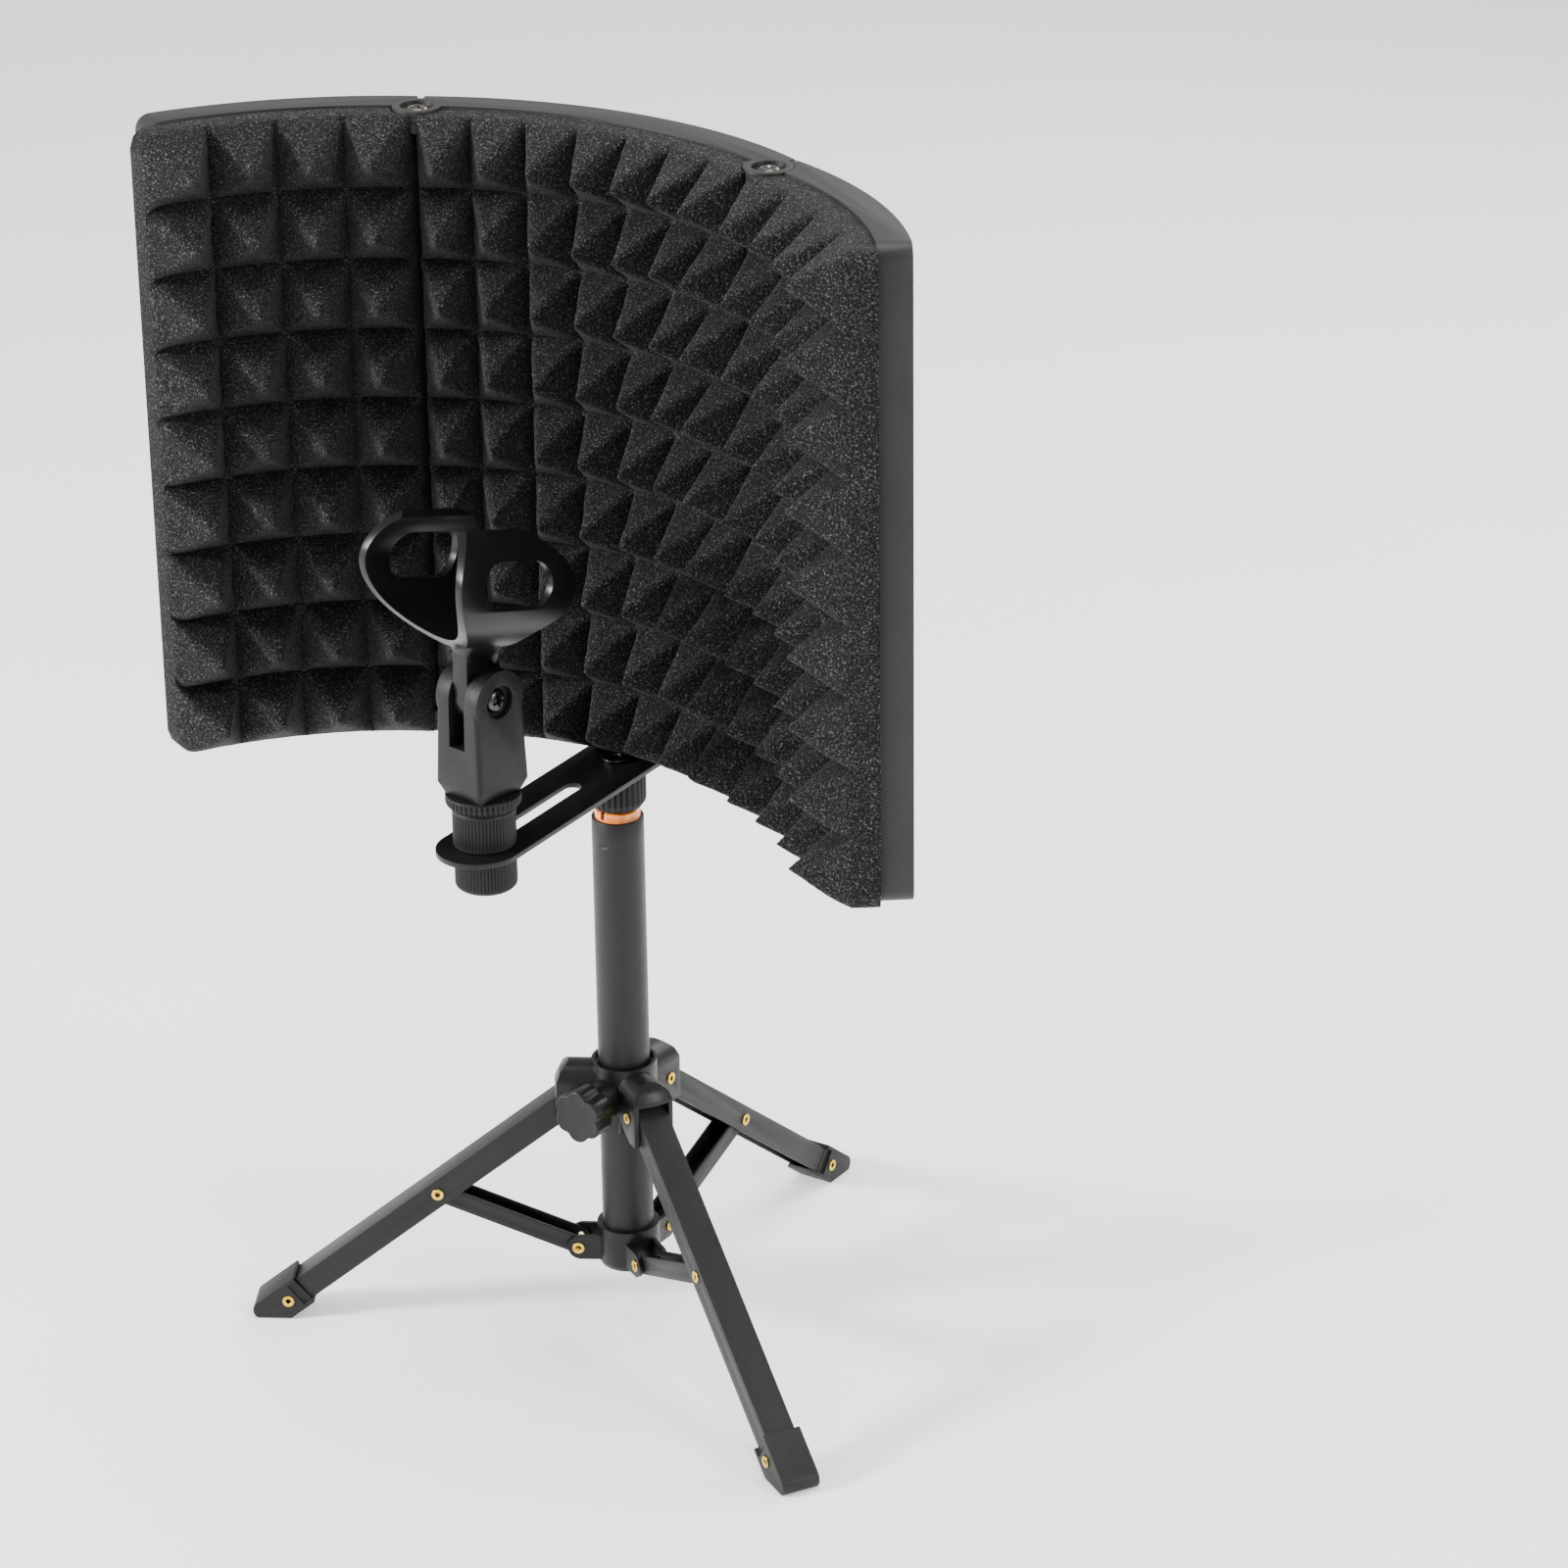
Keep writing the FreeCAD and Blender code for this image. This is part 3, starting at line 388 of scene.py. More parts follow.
def metal(name, dark, light, rough, scratch_scale=(900.0, 900.0, 60.0)):
    """Bare or plated metal with fine drawn marks and uneven gloss."""
    material, tree, shader, coords = start_material(name, metallic=1.0)
    stretch = node(tree, "Mapping")
    stretch.inputs["Scale"].default_value = scratch_scale
    tree.links.new(coords, stretch.inputs["Vector"])
    marks = noise_at(tree, stretch.outputs["Vector"], 1.0, 3.0)
    cloud = noise_at(tree, coords, 300.0, 2.0)
    tree.links.new(ramp(tree, cloud, [(0.3, dark), (0.7, light)]), shader.inputs["Base Color"])
    tree.links.new(spread(tree, marks, rough - 0.07, rough + 0.1), shader.inputs["Roughness"])
    bumped(tree, shader, marks, 0.00004)
    return material


def collet_material():
    """Glossy amber plastic with flow clouds."""
    material, tree, shader, coords = start_material("amber_plastic", 0.0, 0.6, 0.6, 0.08)
    shader.inputs["Subsurface Weight"].default_value = 0.25
    shader.inputs["Subsurface Radius"].default_value = (0.004, 0.0016, 0.0004)
    cloud = noise_at(tree, coords, 220.0, 3.0)
    colours = [(0.3, (0.5, 0.085, 0.002)), (0.5, (0.8, 0.19, 0.004)), (0.72, (0.95, 0.36, 0.015))]
    tree.links.new(ramp(tree, cloud, colours), shader.inputs["Base Color"])
    tree.links.new(spread(tree, cloud, 0.14, 0.26), shader.inputs["Roughness"])
    bumped(tree, shader, cloud, 0.0001, 0.6)
    return material


FOAM = foam_material()
FRAME_PLASTIC = coated("satin_shell_plastic", 0.019, 2600.0, 0.00008, 0.46)
SHEET_STEEL = coated("back_sheet_coating", 0.010, 2200.0, 0.00005, 0.42)
PLATE = coated("black_powder_coat", 0.004, 2400.0, 0.00006, 0.38)
TUBE = coated("grey_powder_coat", 0.0068, 2000.0, 0.00016, 0.42)
NUT = coated("knurled_nut_plastic", 0.0075, 1800.0, 0.00008, 0.48, specular=0.22)
YOKE = coated("grained_yoke_plastic", 0.0052, 1300.0, 0.00022, 0.5, specular=0.24)
CLIP = coated("semi_gloss_clip_plastic", 0.0025, 1400.0, 0.00003, 0.33, specular=0.22)
HUB = coated("hub_plastic", 0.005, 1800.0, 0.00006, 0.36, specular=0.26)
FOOT = coated("foot_rubber_cap", 0.012, 1400.0, 0.00014, 0.5, specular=0.24)
BRIGHT = metal("bronzed_screw", (0.06, 0.05, 0.042), (0.2, 0.175, 0.15), 0.24)
DARK = metal("blackened_screw", (0.03, 0.03, 0.032), (0.09, 0.09, 0.094), 0.28)
STEEL = metal("machined_steel", (0.35, 0.35, 0.36), (0.62, 0.62, 0.63), 0.28)
BRASS = metal("brass_eyelet", (0.5, 0.31, 0.035), (0.86, 0.6, 0.11), 0.2)
INSERT = metal("turned_brass", (0.5, 0.36, 0.13), (0.8, 0.6, 0.27), 0.3)
AMBER = collet_material()


# ---------------------------------------------------------------- foam panels
def panel_matrix(panel):
    """The turn of a side panel about its hinge, at rest."""
    if panel == "centre":
        return Matrix.Identity(4)
    side = -1 if panel == "left" else 1
    pivot = Vector((side * hinge_x, hinge_y, 0)) * MM
    turn = Matrix.Rotation(radians(panel_turns[panel]), 4, "Z")
    return Matrix.Translation(pivot) @ turn @ Matrix.Translation(-pivot)


def on_arc(radius, angle, z):
    return (radius * sin(angle), arc_centre_y + radius * cos(angle), z)


def pyramid(u, v):
    """Height of one pyramid, 0 to 1, at u and v from 0 to 1 across it.
    Its faces are flat, and its ridges and tip are softened."""
    ridge, tip, belly = 0.07, 0.965, 0.96
    a, b = 1.0 - abs(2 * u - 1), 1.0 - abs(2 * v - 1)
    low = -ridge * (log(exp(-a / ridge) + exp(-b / ridge)))
    return max(0.0, min(low, tip)) ** belly


def unevenness(along, z):
    """The cut foam's slow lumps and fine roughness, in millimetres, at a place on its face."""
    place_on_face = Vector((along, z, 0)) * 0.16
    lump = noise.noise(place_on_face) * 0.5 + noise.noise(place_on_face * 3.1) * 0.3
    return lump * 0.8 + noise.noise(Vector((along, z, 7.0)) * 1.3) * 0.35


def foam_mesh(name, start, end, free, columns, cells):
    """A pad with rows of pyramids in front. start and end in degrees along the arc; free is -1, 1 or 0."""
    low, high = shield_bottom + pad_bottom_gap, shield_top - pad_top_gap
    half, middle = (high - low) / 2, (high + low) / 2
    over = foam_overhang / inner_radius
    a0 = radians(start) - (over if free < 0 else 0)
    a1 = radians(end) + (over if free > 0 else 0)
    across, up = columns * cells, foam_rows * cells_up
    window0 = radians(start) + frame_bar / inner_radius + plug_slack
    window1 = radians(end) - frame_bar / inner_radius - plug_slack
    window_half = (shield_top - shield_bottom) / 2 - frame_bar - plug_gap
    verts = []

    def side_inset(radius, t):
        """How far the seam's slope pulls the pad's end in, as an angle, fading across the pad."""
        depth = (inner_radius - radius) * seam_slope / radius
        left = 0.0 if free < 0 else depth * max(0.0, 1 - t * columns)
        right = 0.0 if free > 0 else depth * max(0.0, 1 - (1 - t) * columns)
        return left - right

    def corner_drop(angle):
        """How far a rounded free corner lowers the pad's top edge."""
        if free == 0:
            return 0.0
        distance = (angle - a0 if free < 0 else a1 - angle) * valley_radius
        if distance >= foam_corner:
            return 0.0
        return foam_corner - sqrt(max(0.0, foam_corner ** 2 - (foam_corner - distance) ** 2))

    def point(i, j, layer):
        t, w = i / across, j / up
        angle = a0 + (a1 - a0) * t
        scale = (half - corner_drop(angle)) / half
        z = middle + (w - 0.5) * 2 * half * scale
        if layer == 0:
            column_share = (t * columns) % 1.0 if i < across else 0.0
            row_share = (w * foam_rows) % 1.0 if j < up else 0.0
            along = angle * valley_radius
            radius = valley_radius - pyramid_height * pyramid(column_share, row_share) + unevenness(along, z)
            angle += side_inset(valley_radius, t)
            angle += noise.noise(Vector((z * 0.14, t * 9, 3.0))) * 0.8 / valley_radius
            return on_arc(min(radius, valley_radius + 0.3), angle, z)
        inside = window0 < angle < window1 and abs(z - middle) < window_half
        return on_arc(sheet_inner - 0.2 if inside else inner_radius - 0.1, angle, z)

    for layer in (0, 1):
        for i in range(across + 1):
            for j in range(up + 1):
                verts.append(point(i, j, layer))
    rows = up + 1
    size = (across + 1) * rows
    faces = []
    for i in range(across):
        for j in range(up):
            a = i * rows + j
            faces.append((a, a + rows, a + rows + 1, a + 1))
            faces.append((size + a, size + a + 1, size + a + rows + 1, size + a + rows))
    edge = [i * rows for i in range(across + 1)]
    edge += [across * rows + j for j in range(1, up + 1)]
    edge += [i * rows + up for i in range(across - 1, -1, -1)]
    edge += list(range(up - 1, 0, -1))
    for a, b in zip(edge, edge[1:] + edge[:1]):
        faces.append((a, size + a, size + b, b))
    return new_object(name, verts, faces)


def lug_cutter(side):
    """Two round plugs, where the hinge's lugs sit in the top and the bottom of the pad."""
    plugs = []
    for low, high in ((shield_bottom - plug_rise, shield_bottom + lug_depth),
                      (shield_top - lug_depth, shield_top + plug_rise)):
        plug = lathe("plug", [(0.0, low), (lug_clearance, low), (lug_clearance, high), (0.0, high)], 48)
        edit(plug, tidy)
        plugs.append(place(plug, Matrix.Translation(Vector((side * hinge_x, hinge_y, 0)) * MM)))
    return join("plugs", plugs)


# start, end, free end, columns of pyramids, mesh cells across each, seams
panels = {
    "centre": (-hinge_angle, hinge_angle, 0, 7, 17, (-1, 1)),
    "left": (-end_angle, -hinge_angle, -1, 4, 20, (-1,)),
    "right": (hinge_angle, end_angle, 1, 4, 20, (1,)),
}
for panel, (start, end, free, columns, cells, seams) in panels.items():
    pad = foam_mesh(panel + "_foam_pad", start, end, free, columns, cells)
    edit(pad, tidy)
    for side in seams:
        subtract(pad, lug_cutter(side))
    place(pad, panel_matrix(panel))
    stand_for(pad, FOAM, panel + "_foam", angle=60.0)


# ---------------------------------------------------------------- perforated back sheets
def cell_border(width, height):
    """16 points round a cell, a quarter of a side apart, from its lower left corner."""
    quarters = [i / 4 for i in range(4)]
    points = [(q * width, 0.0) for q in quarters] + [(width, q * height) for q in quarters]
    points += [(width * (1 - q), height) for q in quarters] + [(0.0, height * (1 - q)) for q in quarters]
    return points


def perforated(name, start, end):
    """A curved sheet with staggered round holes, one in each cell of a brick pattern."""
    low, high = shield_bottom + frame_bar - groove_depth, shield_top - frame_bar + groove_depth
    edge_angle = frame_bar / inner_radius - groove_depth / sheet_outer
    a0, a1 = radians(start) + edge_angle, radians(end) - edge_angle
    length = (a1 - a0) * sheet_outer
    columns = round(length / hole_pitch)
    rows = round((high - low) / (hole_pitch * row_pitch))
    width, height = length / columns, (high - low) / rows
    border = cell_border(width, height)
    verts, faces = [], []
    for row in range(rows):
        z0 = row * height
        shifted = row % 2
        for column in range(columns - shifted):
            x0 = (column + shifted / 2) * width
            base = len(verts)
            for x, z in border:
                a = atan2(z - height / 2, x - width / 2)
                hole_x, hole_z = hole_radius * cos(a), hole_radius * sin(a)
                verts.append((x0 + width / 2 + hole_x, 0, z0 + height / 2 + hole_z))
            verts.extend((x0 + x, 0, z0 + z) for x, z in border)
            for k in range(16):
                n = (k + 1) % 16
                faces.append((base + k, base + 16 + k, base + 16 + n, base + n))
        for x0 in (0.0, length - width / 2) if shifted else ():
            base = len(verts)
            verts.extend((x0 + i * width / 4, 0, z0 + j * height / 4) for j in range(5) for i in range(3))
            faces += [(base + 3 * j + i, base + 3 * j + i + 1, base + 3 * j + i + 4, base + 3 * j + i + 3)
                      for j in range(4) for i in range(2)]
    sheet = new_object(name, verts, faces)
    edit(sheet, lambda bm: bmesh.ops.remove_doubles(bm, verts=bm.verts, dist=2e-5))
    solid = sheet.modifiers.new("thickness", "SOLIDIFY")
    solid.thickness = sheet_thickness * MM
    solid.offset = 0.0
    apply_modifiers(sheet)
    middle = (sheet_outer + sheet_inner) / 2
    for vertex in sheet.data.vertices:
        x, y, z = vertex.co / MM
        vertex.co = Vector(on_arc(middle + y, a0 + x / sheet_outer, low + z)) * MM
    return sheet


for panel, (start, end, *_) in panels.items():
    sheet = place(perforated(panel + "_perforated_sheet", start, end), panel_matrix(panel))
    stand_for(sheet, SHEET_STEEL, panel + "_back_plate", angle=30.0)

# ---------------------------------------------------------------- frames, plate and bracket
for panel in panels:
    softened(panel + "_frame", 1.1, FRAME_PLASTIC, 3, 30.0)
softened("arm_plate", 0.8, PLATE, 3)
softened("shield_bracket", 0.5, PLATE)


# ---------------------------------------------------------------- screws
def upright(origin, axis):
    """Turns local +Z to an axis and moves the origin, in millimetres."""
    turn = Vector(axis).to_track_quat("Z", "Y").to_matrix().to_4x4()
    return Matrix.Translation(Vector(origin) * MM) @ turn


def cross_cutter(reach, width, depth, top):
    """A tapered bar, one of the two of a cross recess."""
    verts = []
    for z, share in ((top + 0.5, 1.15), (top - depth, 0.45)):
        x, y = reach * share, width / 2 * (1.0 if share > 1 else 0.7)
        verts += [(-x, -y, z), (x, -y, z), (x, y, z), (-x, y, z)]
    faces = [(0, 1, 2, 3), (7, 6, 5, 4), (0, 4, 5, 1), (1, 5, 6, 2), (2, 6, 7, 3), (3, 7, 4, 0)]
    return new_object("cross", verts, faces)


def cross_screw(name, head_r, head_h, shank_r, shank, spin=20.0):
    """A pan head screw with a cross recess: its head from z = 0 up, its shank down."""
    dome = rounded([(shank_r, 0.0), (head_r, 0.0), (head_r, head_h * 0.45), (head_r * 0.8, head_h * 0.86),
                    (head_r * 0.35, head_h), (0.0, head_h)], head_h * 0.3)
    screw = lathe(name, [(0.0, -shank), (shank_r - 0.4, -shank), (shank_r, -shank + 0.4)] + dome, 64)
    edit(screw, tidy)
    for quarter in (0.0, 90.0):
        bar = cross_cutter(head_r * 0.62, head_r * 0.26, head_h * 0.7, head_h)
        place(bar, Matrix.Rotation(radians(quarter + spin), 4, "Z"))
        subtract(screw, bar)
    return screw


# head radius, head height, shank radius and shank length
hinge_screw = (5.0, 1.8, 2.5, 7.6)
frame_screw = (3.2, 1.85, 1.5, 9.6)
plate_screw = (3.2, 1.8, 1.5, 4.4)
clip_screw = (5.6, 2.8, 2.5, 22.2)
hinge_sink = 2.2             # the hinge screws' heads below the frame's faces

for side, name in ((-1, "left"), (1, "right")):
    top_seat = upright((side * hinge_x, hinge_y, shield_top - hinge_sink), (0, 0, 1))
    low_seat = upright((side * hinge_x, hinge_y, shield_bottom + hinge_sink), (0, 0, -1))
    top = place(cross_screw("top", *hinge_screw, 25.0 * side), top_seat)
    low = place(cross_screw("low", *hinge_screw), low_seat)
    stand_for(join(name + "_hinge_cross_screws", [top, low]), BRIGHT, name + "_hinge_screws")

# the bracket's screws: two from behind into the centre frame, two from below through the plate
bracket_x, flange_y, bracket_sheet = 11.0, 22.5, 2.0
bracket_z = shield_bottom + frame_bar / 2
plate_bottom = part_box("arm_plate")[0].z / MM
back_face = arc_centre_y + sqrt((arc_radius + bracket_sheet) ** 2 - bracket_x ** 2) + 0.15
bracket_screws = []
for side in (-1, 1):
    back = cross_screw("back", *frame_screw, 30.0 * side)
    bracket_screws.append(place(back, upright((side * bracket_x, back_face, bracket_z), (0, 1, 0))))
    below = cross_screw("below", *plate_screw, 50.0 * side)
    bracket_screws.append(place(below, upright((side * bracket_x, flange_y, plate_bottom), (0, 0, -1))))
stand_for(join("bracket_cross_screws", bracket_screws), DARK, "bracket_screws")

pivot = joint_place("clip_tilt") / MM
across = Vector((cos(radians(holder_pan)), sin(radians(holder_pan)), 0))
clip_seat = upright(pivot + across * 9.6, across)
screw = place(cross_screw("clip_cross_screw", *clip_screw, 15.0), clip_seat)
stand_for(screw, DARK, "clip_pivot_screw")
softened("clip_pivot_nut", 0.4, DARK)


# ---------------------------------------------------------------- ribbed nuts
stud_bore = 4.1              # round the stud that carries the holder
thread_bore = 7.96           # the 5/8 inch thread
mast_bore = 9.8


def ribbed(name, profile, ribs, count_per_rib, node_name):
    """A nut in place of a CAD node: profile(low, high) is its outline, ribs are as in lathe()."""
    low, high = (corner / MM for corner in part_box(node_name))
    middle = (low + high) / 2
    nut = lathe(name, profile(low.z, high.z), ribs[0] * count_per_rib, ribs)
    place(nut, Matrix.Translation(Vector((middle.x, middle.y, 0)) * MM))
    return stand_for(nut, NUT, node_name, angle=50.0)


def levels(profile, spacing):
    """Adds points along upright stretches of a profile, so that ribs can begin and end there."""
    made = [profile[0]]
    for (r0, z0), (r1, z1) in zip(profile, profile[1:]):
        count = max(1, int(abs(z1 - z0) / spacing)) if abs(r1 - r0) < 0.01 else 1
        made += [(r0 + (r1 - r0) * i / count, z0 + (z1 - z0) * i / count) for i in range(1, count + 1)]
    return made


def nut_outline(radius, low, high, bottom, top, rim, bore):
    """A drum with a rounded bottom, a rounded top, and a smooth rim above its ribs."""
    points = rounded([(bore, low), (radius - bottom, low), (radius, low + bottom), (radius, high - rim),
                      (radius, high - top), (radius - top, high), (bore, high)], 1.2)
    return levels(points, 1.0) + [(bore, low)]


def lower_nut_outline(low, high):
    return nut_outline(14.6, low, high, 1.8, 0.5, 1.6, stud_bore)


def sleeve_outline(low, high):
    return nut_outline(14.8, low, high, 0.6, 0.6, 1.5, thread_bore)


def ring_outline(low, high):
    foot, wall = 15.2, 17.7
    points = rounded([(thread_bore, low), (foot, low), (wall, low + 2.6), (wall, high - 0.6),
                      (wall - 0.6, high), (thread_bore, high)], 0.8)
    return levels(points, 0.8) + [(thread_bore, low)]


def thumb_outline(low, high):
    foot, wall = 11.6, 14.2
    points = rounded([(mast_bore, low), (foot, low), (wall, low + 3.4), (wall, high - 2.0),
                      (wall, high - 0.6), (wall - 0.6, high), (mast_bore, high)], 1.0)
    return levels(points, 1.0) + [(mast_bore, low)]


ribbed("mic_lower_nut_ribbed", lower_nut_outline, (56, 0.55, 286.3, 301.6), 8, "mic_lower_nut")
ribbed("mic_sleeve_nut_ribbed", sleeve_outline, (56, 0.55, 307.0, 322.9), 8, "mic_sleeve_nut")
ribbed("mic_lock_ring_ribbed", ring_outline, (44, 0.9, 326.8, 331.2), 10, "mic_lock_ring")
ribbed("mast_thumb_nut_ribbed", thumb_outline, (30, 1.0, 283.2, 300.8), 10, "mast_thumb_nut")

# ---------------------------------------------------------------- yoke and clip
softened("clip_yoke", 0.9, YOKE, 3)
softened("mic_clip", 1.4, CLIP, 4, 40.0)


def clip_flare():
    """The web that widens smoothly from the clip's tongue into the underside of its barrel."""
    barrel_z, middle_r, tongue_half = 57.0, 31.0, 4.55
    flare_half, flare_low = 15.0, 12.0
    front_low, rear_low, front_high, rear_high = -12.0, 8.0, -22.0, 2.0
    steps, count = 8, 48
    verts = []
    for step in range(steps + 1):
        t = step / steps
        half = tongue_half - 0.1 + (flare_half - tongue_half) * t ** 3
        top = barrel_z - sqrt(middle_r ** 2 - half ** 2)
        z = flare_low + (top - flare_low) * t
        front, rear = front_low + (front_high - front_low) * t, rear_low + (rear_high - rear_low) * t
        for k in range(count):
            a = 2 * pi * k / count
            x = half * (1 if cos(a) > 0 else -1) * abs(cos(a)) ** 0.35
            y = (front + rear) / 2 + (rear - front) / 2 * (1 if sin(a) > 0 else -1) * abs(sin(a)) ** 0.6
            barrel = barrel_z - sqrt(middle_r ** 2 - x * x)
            verts.append((x, y, min(z, barrel) if step < steps else barrel))
    faces = rings_to_faces(steps + 1, count)
    faces += [tuple(range(count)), tuple(steps * count + k for k in reversed(range(count)))]
    flare = new_object("clip_web", verts, faces)
    tilt = Matrix.Rotation(radians(clip_tilt), 4, "X")
    pan = Matrix.Rotation(radians(holder_pan), 4, "Z")
    place(flare, Matrix.Translation(joint_place("clip_tilt")) @ pan @ tilt)
    edit(flare, tidy)
    smooth(flare, 50.0)
    flare.data.materials.append(CLIP)
    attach(flare, "clip")


clip_flare()
softened("yoke_insert", 0.2, INSERT)
softened("mic_stud", 0.3, STEEL)


# ---------------------------------------------------------------- column and collet
def crimped_tube():
    """The column's tube with a small pressed dimple below its mouth."""
    low, high = (corner.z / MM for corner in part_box("column_tube"))
    radius, bore = 12.7, 11.3
    dimple_z, dimple_angle = high - 12.4, -pi / 2
    dimple_depth, dimple_half, dimple_rise = 0.5, 2.3, 0.9
    dense = [dimple_z - 3 + 0.3 * i for i in range(21)]
    outer = [(radius - 0.35, low), (radius, low + 0.35)] + [(radius, z) for z in dense]
    outer += [(radius, high - 0.4), (radius - 0.15, high - 0.12), (radius - 0.45, high)]
    profile = outer + [(bore + 0.3, high), (bore, high - 0.3), (bore, low)] + [outer[0]]
    tube = lathe("column_tube_crimped", profile, 256)
    for vertex in tube.data.vertices:
        x, y, z = vertex.co / MM
        if sqrt(x * x + y * y) > radius - 0.1:
            around = (atan2(y, x) - dimple_angle) * radius
            sink = dimple_depth * exp(-((around / dimple_half) ** 4) - ((z - dimple_z) / dimple_rise) ** 4)
            share = 1 - sink / radius
            vertex.co = Vector((x * share, y * share, z)) * MM
    stand_for(tube, TUBE, "column_tube", angle=35.0)


crimped_tube()
softened("collet_ring", 0.35, AMBER, 3)
softened("mast_tube", 0.3, TUBE)
softened("mast_cap_screw", 0.3, DARK)

# ---------------------------------------------------------------- tripod castings
softened("hub", 0.9, HUB, 3, 32.0)
softened("column_collar", 0.8, HUB, 3, 32.0)


def lobed_knob():
    """Six rounded lobes with scallops between them and a flat face."""
    lobes, knob_r, thick, scallop = 6, 13.5, 12.5, 1.9
    segments = lobes * 24
    # each ring's inset, share of the outline and height
    face = [(0.0, 0.0, thick - 0.1), (0.0, 0.5, thick - 0.1), (1.6, 1.0, thick - 0.1), (1.2, 1.0, thick),
            (0.45, 1.0, thick - 0.05), (0.12, 1.0, thick - 0.3), (0.0, 1.0, thick - 0.8), (0.0, 1.0, 1.0),
            (0.3, 1.0, 0.35), (0.9, 1.0, 0.0), (0.0, 0.5, 0.0), (0.0, 0.0, 0.0)]
    verts = []
    for inset, share, z in face:
        for k in range(segments):
            a = 2 * pi * k / segments
            outline = knob_r - scallop * groove(a, lobes, 0.22)
            r = outline * share - inset
            verts.append((r * cos(a), r * sin(a), z))
    return new_object("clamp_knob_lobed", verts, rings_to_faces(len(face), segments))


knob_back = 28.5             # from the mast's axis to the knob
knob_axis = Vector((sin(radians(leg_turn)), -cos(radians(leg_turn)), 0))
knob_z = joint_place("knob_turn").z / MM
knob = place(lobed_knob(), upright(knob_axis * knob_back + Vector((0, 0, knob_z)), knob_axis))
stand_for(knob, HUB, "clamp_knob", angle=35.0)

# ---------------------------------------------------------------- legs, braces and feet
leg_angle = 51.7             # degrees from upright
leg_length, brace_from = 187.0, 88.3
leg_azimuths = {"left": -60.0 + leg_turn, "right": 60.0 + leg_turn, "rear": 180.0 + leg_turn}
leg_half, foot_half, hub_pin_half = 7.8, 9.7, 10.4
fork_inside, fork_outside = 6.1, 8.1
notch_low, notch_high = leg_length - 5.0, leg_length - 14.0
leg_pivot_r, leg_pivot_z = 24.75, 125.8
collar_pivot_r, collar_pivot_z = 24.55, 42.6
rivet_r, rivet_bore, rivet_head_r, rivet_head = 2.0, 1.2, 3.1, 0.7


def leg_matrix(name):
    """Leg space: the hub pivot at the origin, the leg along -Z, its pins along Y, outward +X."""
    out = Matrix.Translation(Vector((leg_pivot_r, 0, leg_pivot_z)) * MM)
    spread = Matrix.Rotation(radians(-leg_angle), 4, "Y")
    return Matrix.Rotation(radians(leg_azimuths[name] - 90.0), 4, "Z") @ out @ spread


def rim(z, out):
    """The rolled lip of an eyelet at height z, from its bore round to its shank."""
    return rounded([(rivet_bore, z - out * 0.3), (rivet_bore + 0.1, z + out * rivet_head),
                    (rivet_head_r - 0.1, z + out * rivet_head), (rivet_head_r, z + out * 0.05),
                    (rivet_r, z)], 0.6, 4)


def eyelet(low, high, low_lip=True, high_lip=True):
    """A hollow rivet from low to high along Z, with or without a rolled lip at each end."""
    upper = rim(high, 1) if high_lip else [(rivet_bore, high), (rivet_r, high)]
    lower = rim(low, -1) if low_lip else [(rivet_bore, low), (rivet_r, low)]
    return lathe("eyelet", upper + lower[::-1], 40, closed=True)


def foot_notch(side):
    """The space of the shallow slot in one side of a foot cap, in leg space."""
    verts = [(x, side * y, z) for x in (-6.6, 6.6) for y in (8.0, 12.0) for z in (-notch_low, -notch_high)]
    faces = [(0, 1, 3, 2), (4, 6, 7, 5), (0, 4, 5, 1), (2, 3, 7, 6), (0, 2, 6, 4), (1, 5, 7, 3)]
    notch = new_object("notch", verts, faces)
    edit(notch, tidy)
    return notch


ALONG_Y = Matrix.Rotation(radians(-90.0), 4, "X")
ALONG_X = Matrix.Rotation(radians(90.0), 4, "Y")


def at(x, y, z):
    return Matrix.Translation(Vector((x, y, z)) * MM)


hub_eyelets, collar_eyelets = [], []
for name, azimuth in leg_azimuths.items():
    leg_space = leg_matrix(name)
    pins = [place(eyelet(-half, half), leg_space @ at(0, 0, -along) @ ALONG_Y)
            for half, along in ((leg_half, brace_from), (foot_half, leg_length))]
    stand_for(join("leg_eyelets_" + name, pins), BRASS, "leg_rivets_" + name)
    around = Matrix.Rotation(radians(azimuth + 180.0), 4, "Z")
    hub_pin = eyelet(-hub_pin_half, hub_pin_half)
    hub_eyelets.append(place(hub_pin, around @ at(0, leg_pivot_r, leg_pivot_z) @ ALONG_X))
    for low, high, low_lip in ((fork_inside, fork_outside, False), (-fork_outside, -fork_inside, True)):
        ring = eyelet(low, high, low_lip, not low_lip)
        collar_eyelets.append(place(ring, around @ at(0, collar_pivot_r, collar_pivot_z) @ ALONG_X))
    softened("leg_" + name, 0.5, TUBE, 3)
    softened("brace_" + name, 0.4, TUBE, 2)
    notches = [place(foot_notch(side), leg_space) for side in (-1, 1)]
    softened("foot_" + name, 0.9, FOOT, 3, 30.0, notches)
stand_for(join("hub_eyelets", hub_eyelets), BRASS, "hub_rivets")
stand_for(join("collar_eyelets", collar_eyelets), BRASS, "collar_rivets")


# ---------------------------------------------------------------- stage, lights, camera
def area_light(name, place_at, target, size, power):
    data = bpy.data.lights.new(name, "AREA")
    data.shape = "RECTANGLE"
    data.size, data.size_y = size
    data.energy = power
    light = bpy.data.objects.new(name, data)
    light.location = place_at
    light.rotation_euler = (Vector(target) - Vector(place_at)).to_track_quat("-Z", "Y").to_euler()
    bpy.context.scene.collection.objects.link(light)


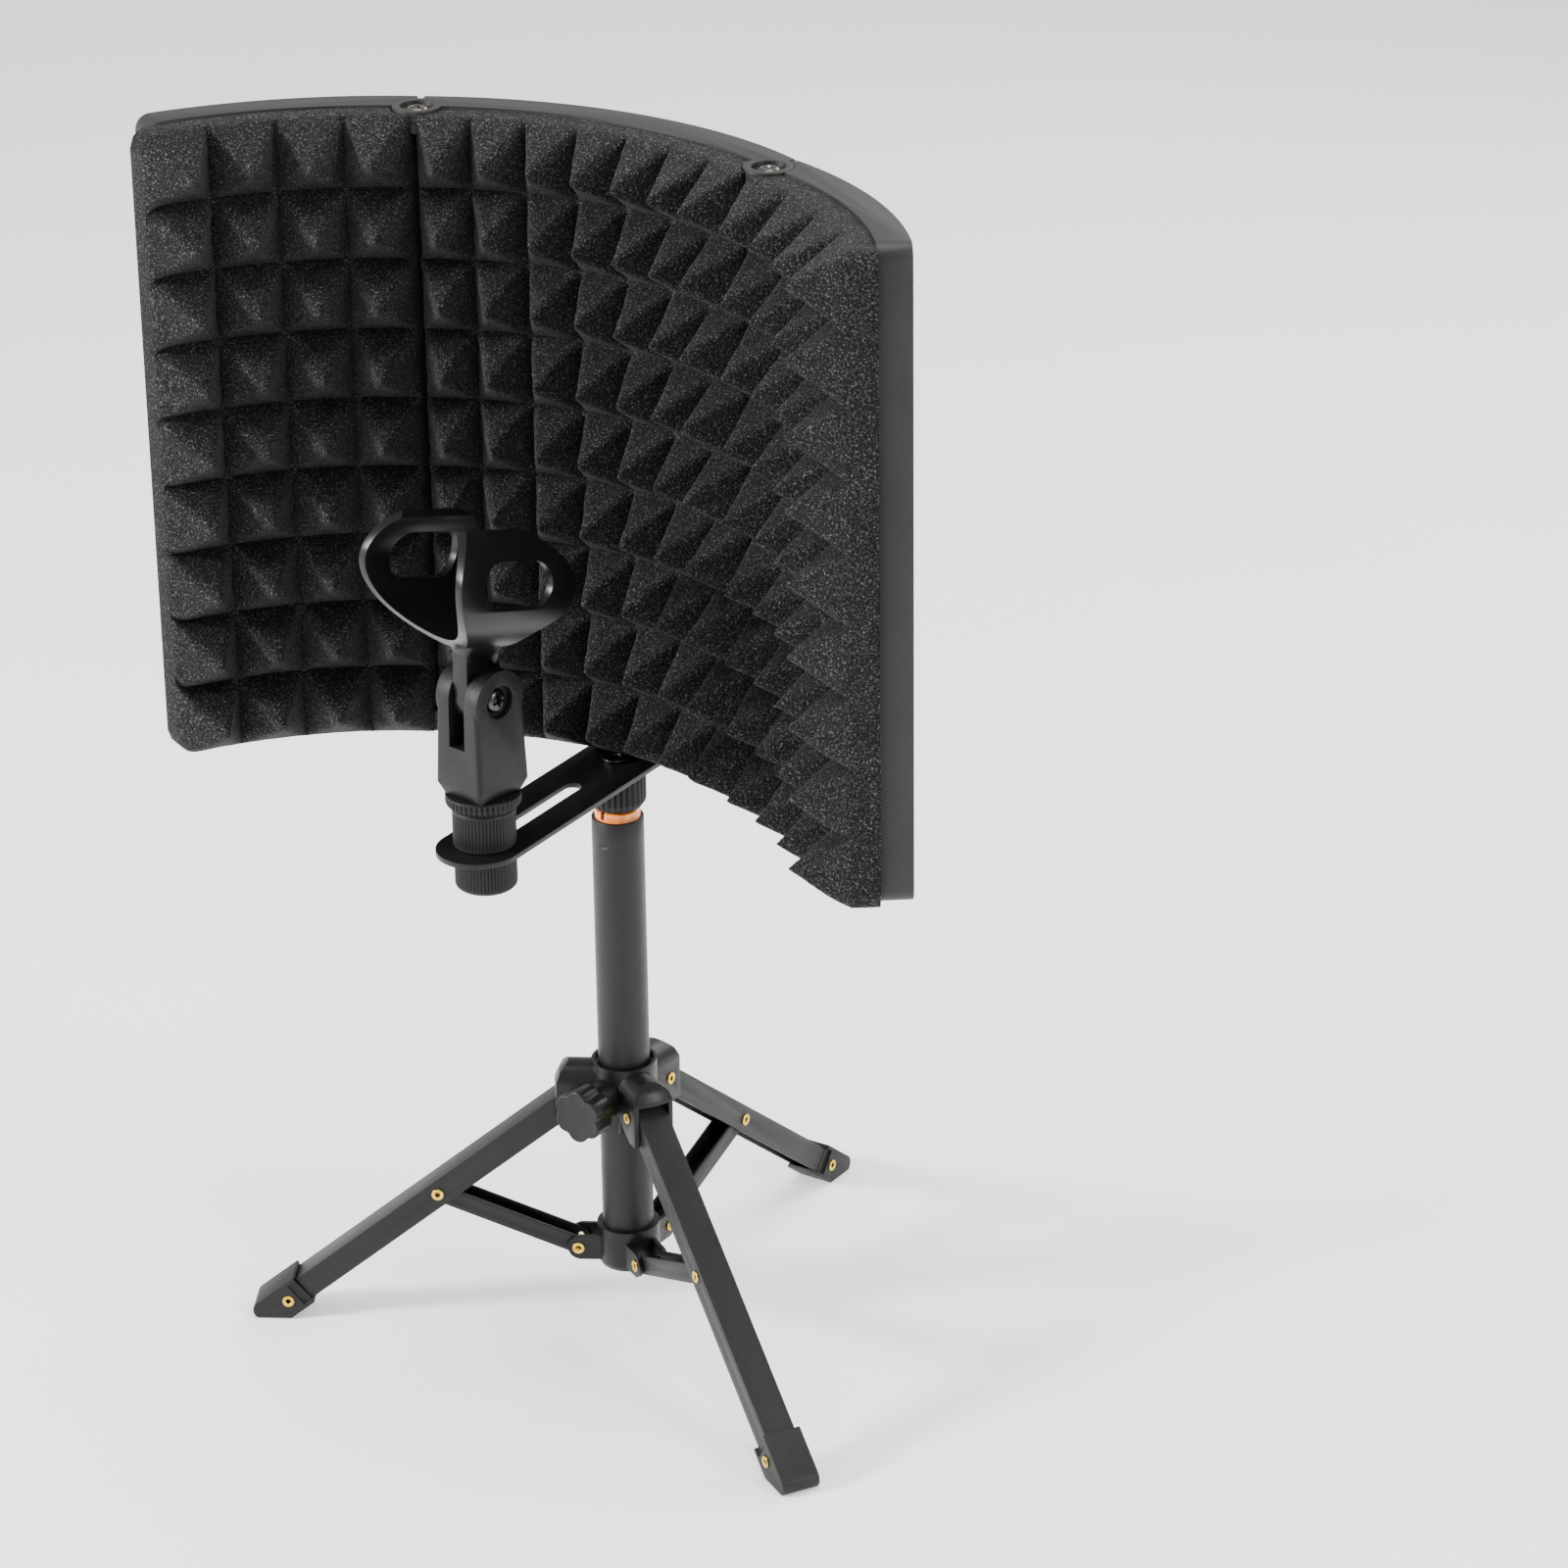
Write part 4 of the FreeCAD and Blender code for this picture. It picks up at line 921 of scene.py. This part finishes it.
def set_stage():
    """A pale floor and four soft lamps round the object, in metres."""
    half_floor = 40.0
    corners = [(-half_floor, -half_floor, 0), (half_floor, -half_floor, 0),
               (half_floor, half_floor, 0), (-half_floor, half_floor, 0)]
    floor = new_object("floor", corners, [(0, 1, 2, 3)], 1.0)
    floor.location.z = -0.0004
    material, tree, shader, coords = start_material("pale_floor", specular=0.2)
    shader.inputs["Roughness"].default_value = 0.8
    shader.inputs["Emission Color"].default_value = (1.0, 1.0, 1.0, 1.0)
    shader.inputs["Emission Strength"].default_value = 0.2
    tone = ramp(tree, noise_at(tree, coords, 2.0), [(0.3, grey(0.93)), (0.7, grey(0.96))])
    tree.links.new(tone, shader.inputs["Base Color"])
    floor.data.materials.append(material)
    world = bpy.data.worlds.new("studio")
    world.use_nodes = True
    world.node_tree.nodes["Background"].inputs["Color"].default_value = (1.0, 1.0, 1.0, 1.0)
    world.node_tree.nodes["Background"].inputs["Strength"].default_value = 0.88
    bpy.context.scene.world = world
    centre = (0.0, -0.05, 0.4)
    area_light("key", (-1.9, -1.9, 1.3), centre, (0.5, 0.5), 150.0)
    area_light("top", (0.1, -0.1, 2.4), centre, (1.6, 1.2), 45.0)
    area_light("side", (2.0, -0.2, 1.1), centre, (0.5, 1.4), 32.0)
    area_light("back", (0.3, 1.9, 1.4), centre, (1.6, 1.0), 30.0)


def set_camera():
    """A long lens in front, to the right and above."""
    yaw, elevation, roll = radians(31.67), radians(24.09), radians(-0.71)
    back = Vector((sin(yaw) * cos(elevation), -cos(yaw) * cos(elevation), sin(elevation)))
    level = Vector((cos(yaw), sin(yaw), 0))
    upright = back.cross(level)
    right = level * cos(roll) + upright * sin(roll)
    up = upright * cos(roll) - level * sin(roll)
    data = bpy.data.cameras.new("camera")
    data.lens = 120.0
    data.sensor_width = 36.0
    camera = bpy.data.objects.new("camera", data)
    matrix = Matrix((right, up, back)).transposed().to_4x4()
    matrix.translation = Vector((1.27043, -1.90662, 1.31504))
    camera.matrix_world = matrix
    bpy.context.scene.collection.objects.link(camera)
    bpy.context.scene.camera = camera


set_stage()
set_camera()

# ---------------------------------------------------------------- carried-over CAD nodes
carried = {
    "frame_plastic": FRAME_PLASTIC, "back_plate": SHEET_STEEL, "bright_screw": BRIGHT, "insert_brass": INSERT,
    "dark_screw": DARK, "plate_steel": PLATE, "knurled_nut": NUT, "plain_steel": STEEL, "yoke_plastic": YOKE,
    "clip_plastic": CLIP, "collet_orange": AMBER, "tube_paint": TUBE, "rivet_brass": BRASS,
    "hub_plastic": HUB, "foot_rubber": FOOT, "foam": FOAM,
}
for name, obj in frame["nodes"].items():
    obj.data.materials.clear()
    obj.data.materials.append(carried[slots[name]])
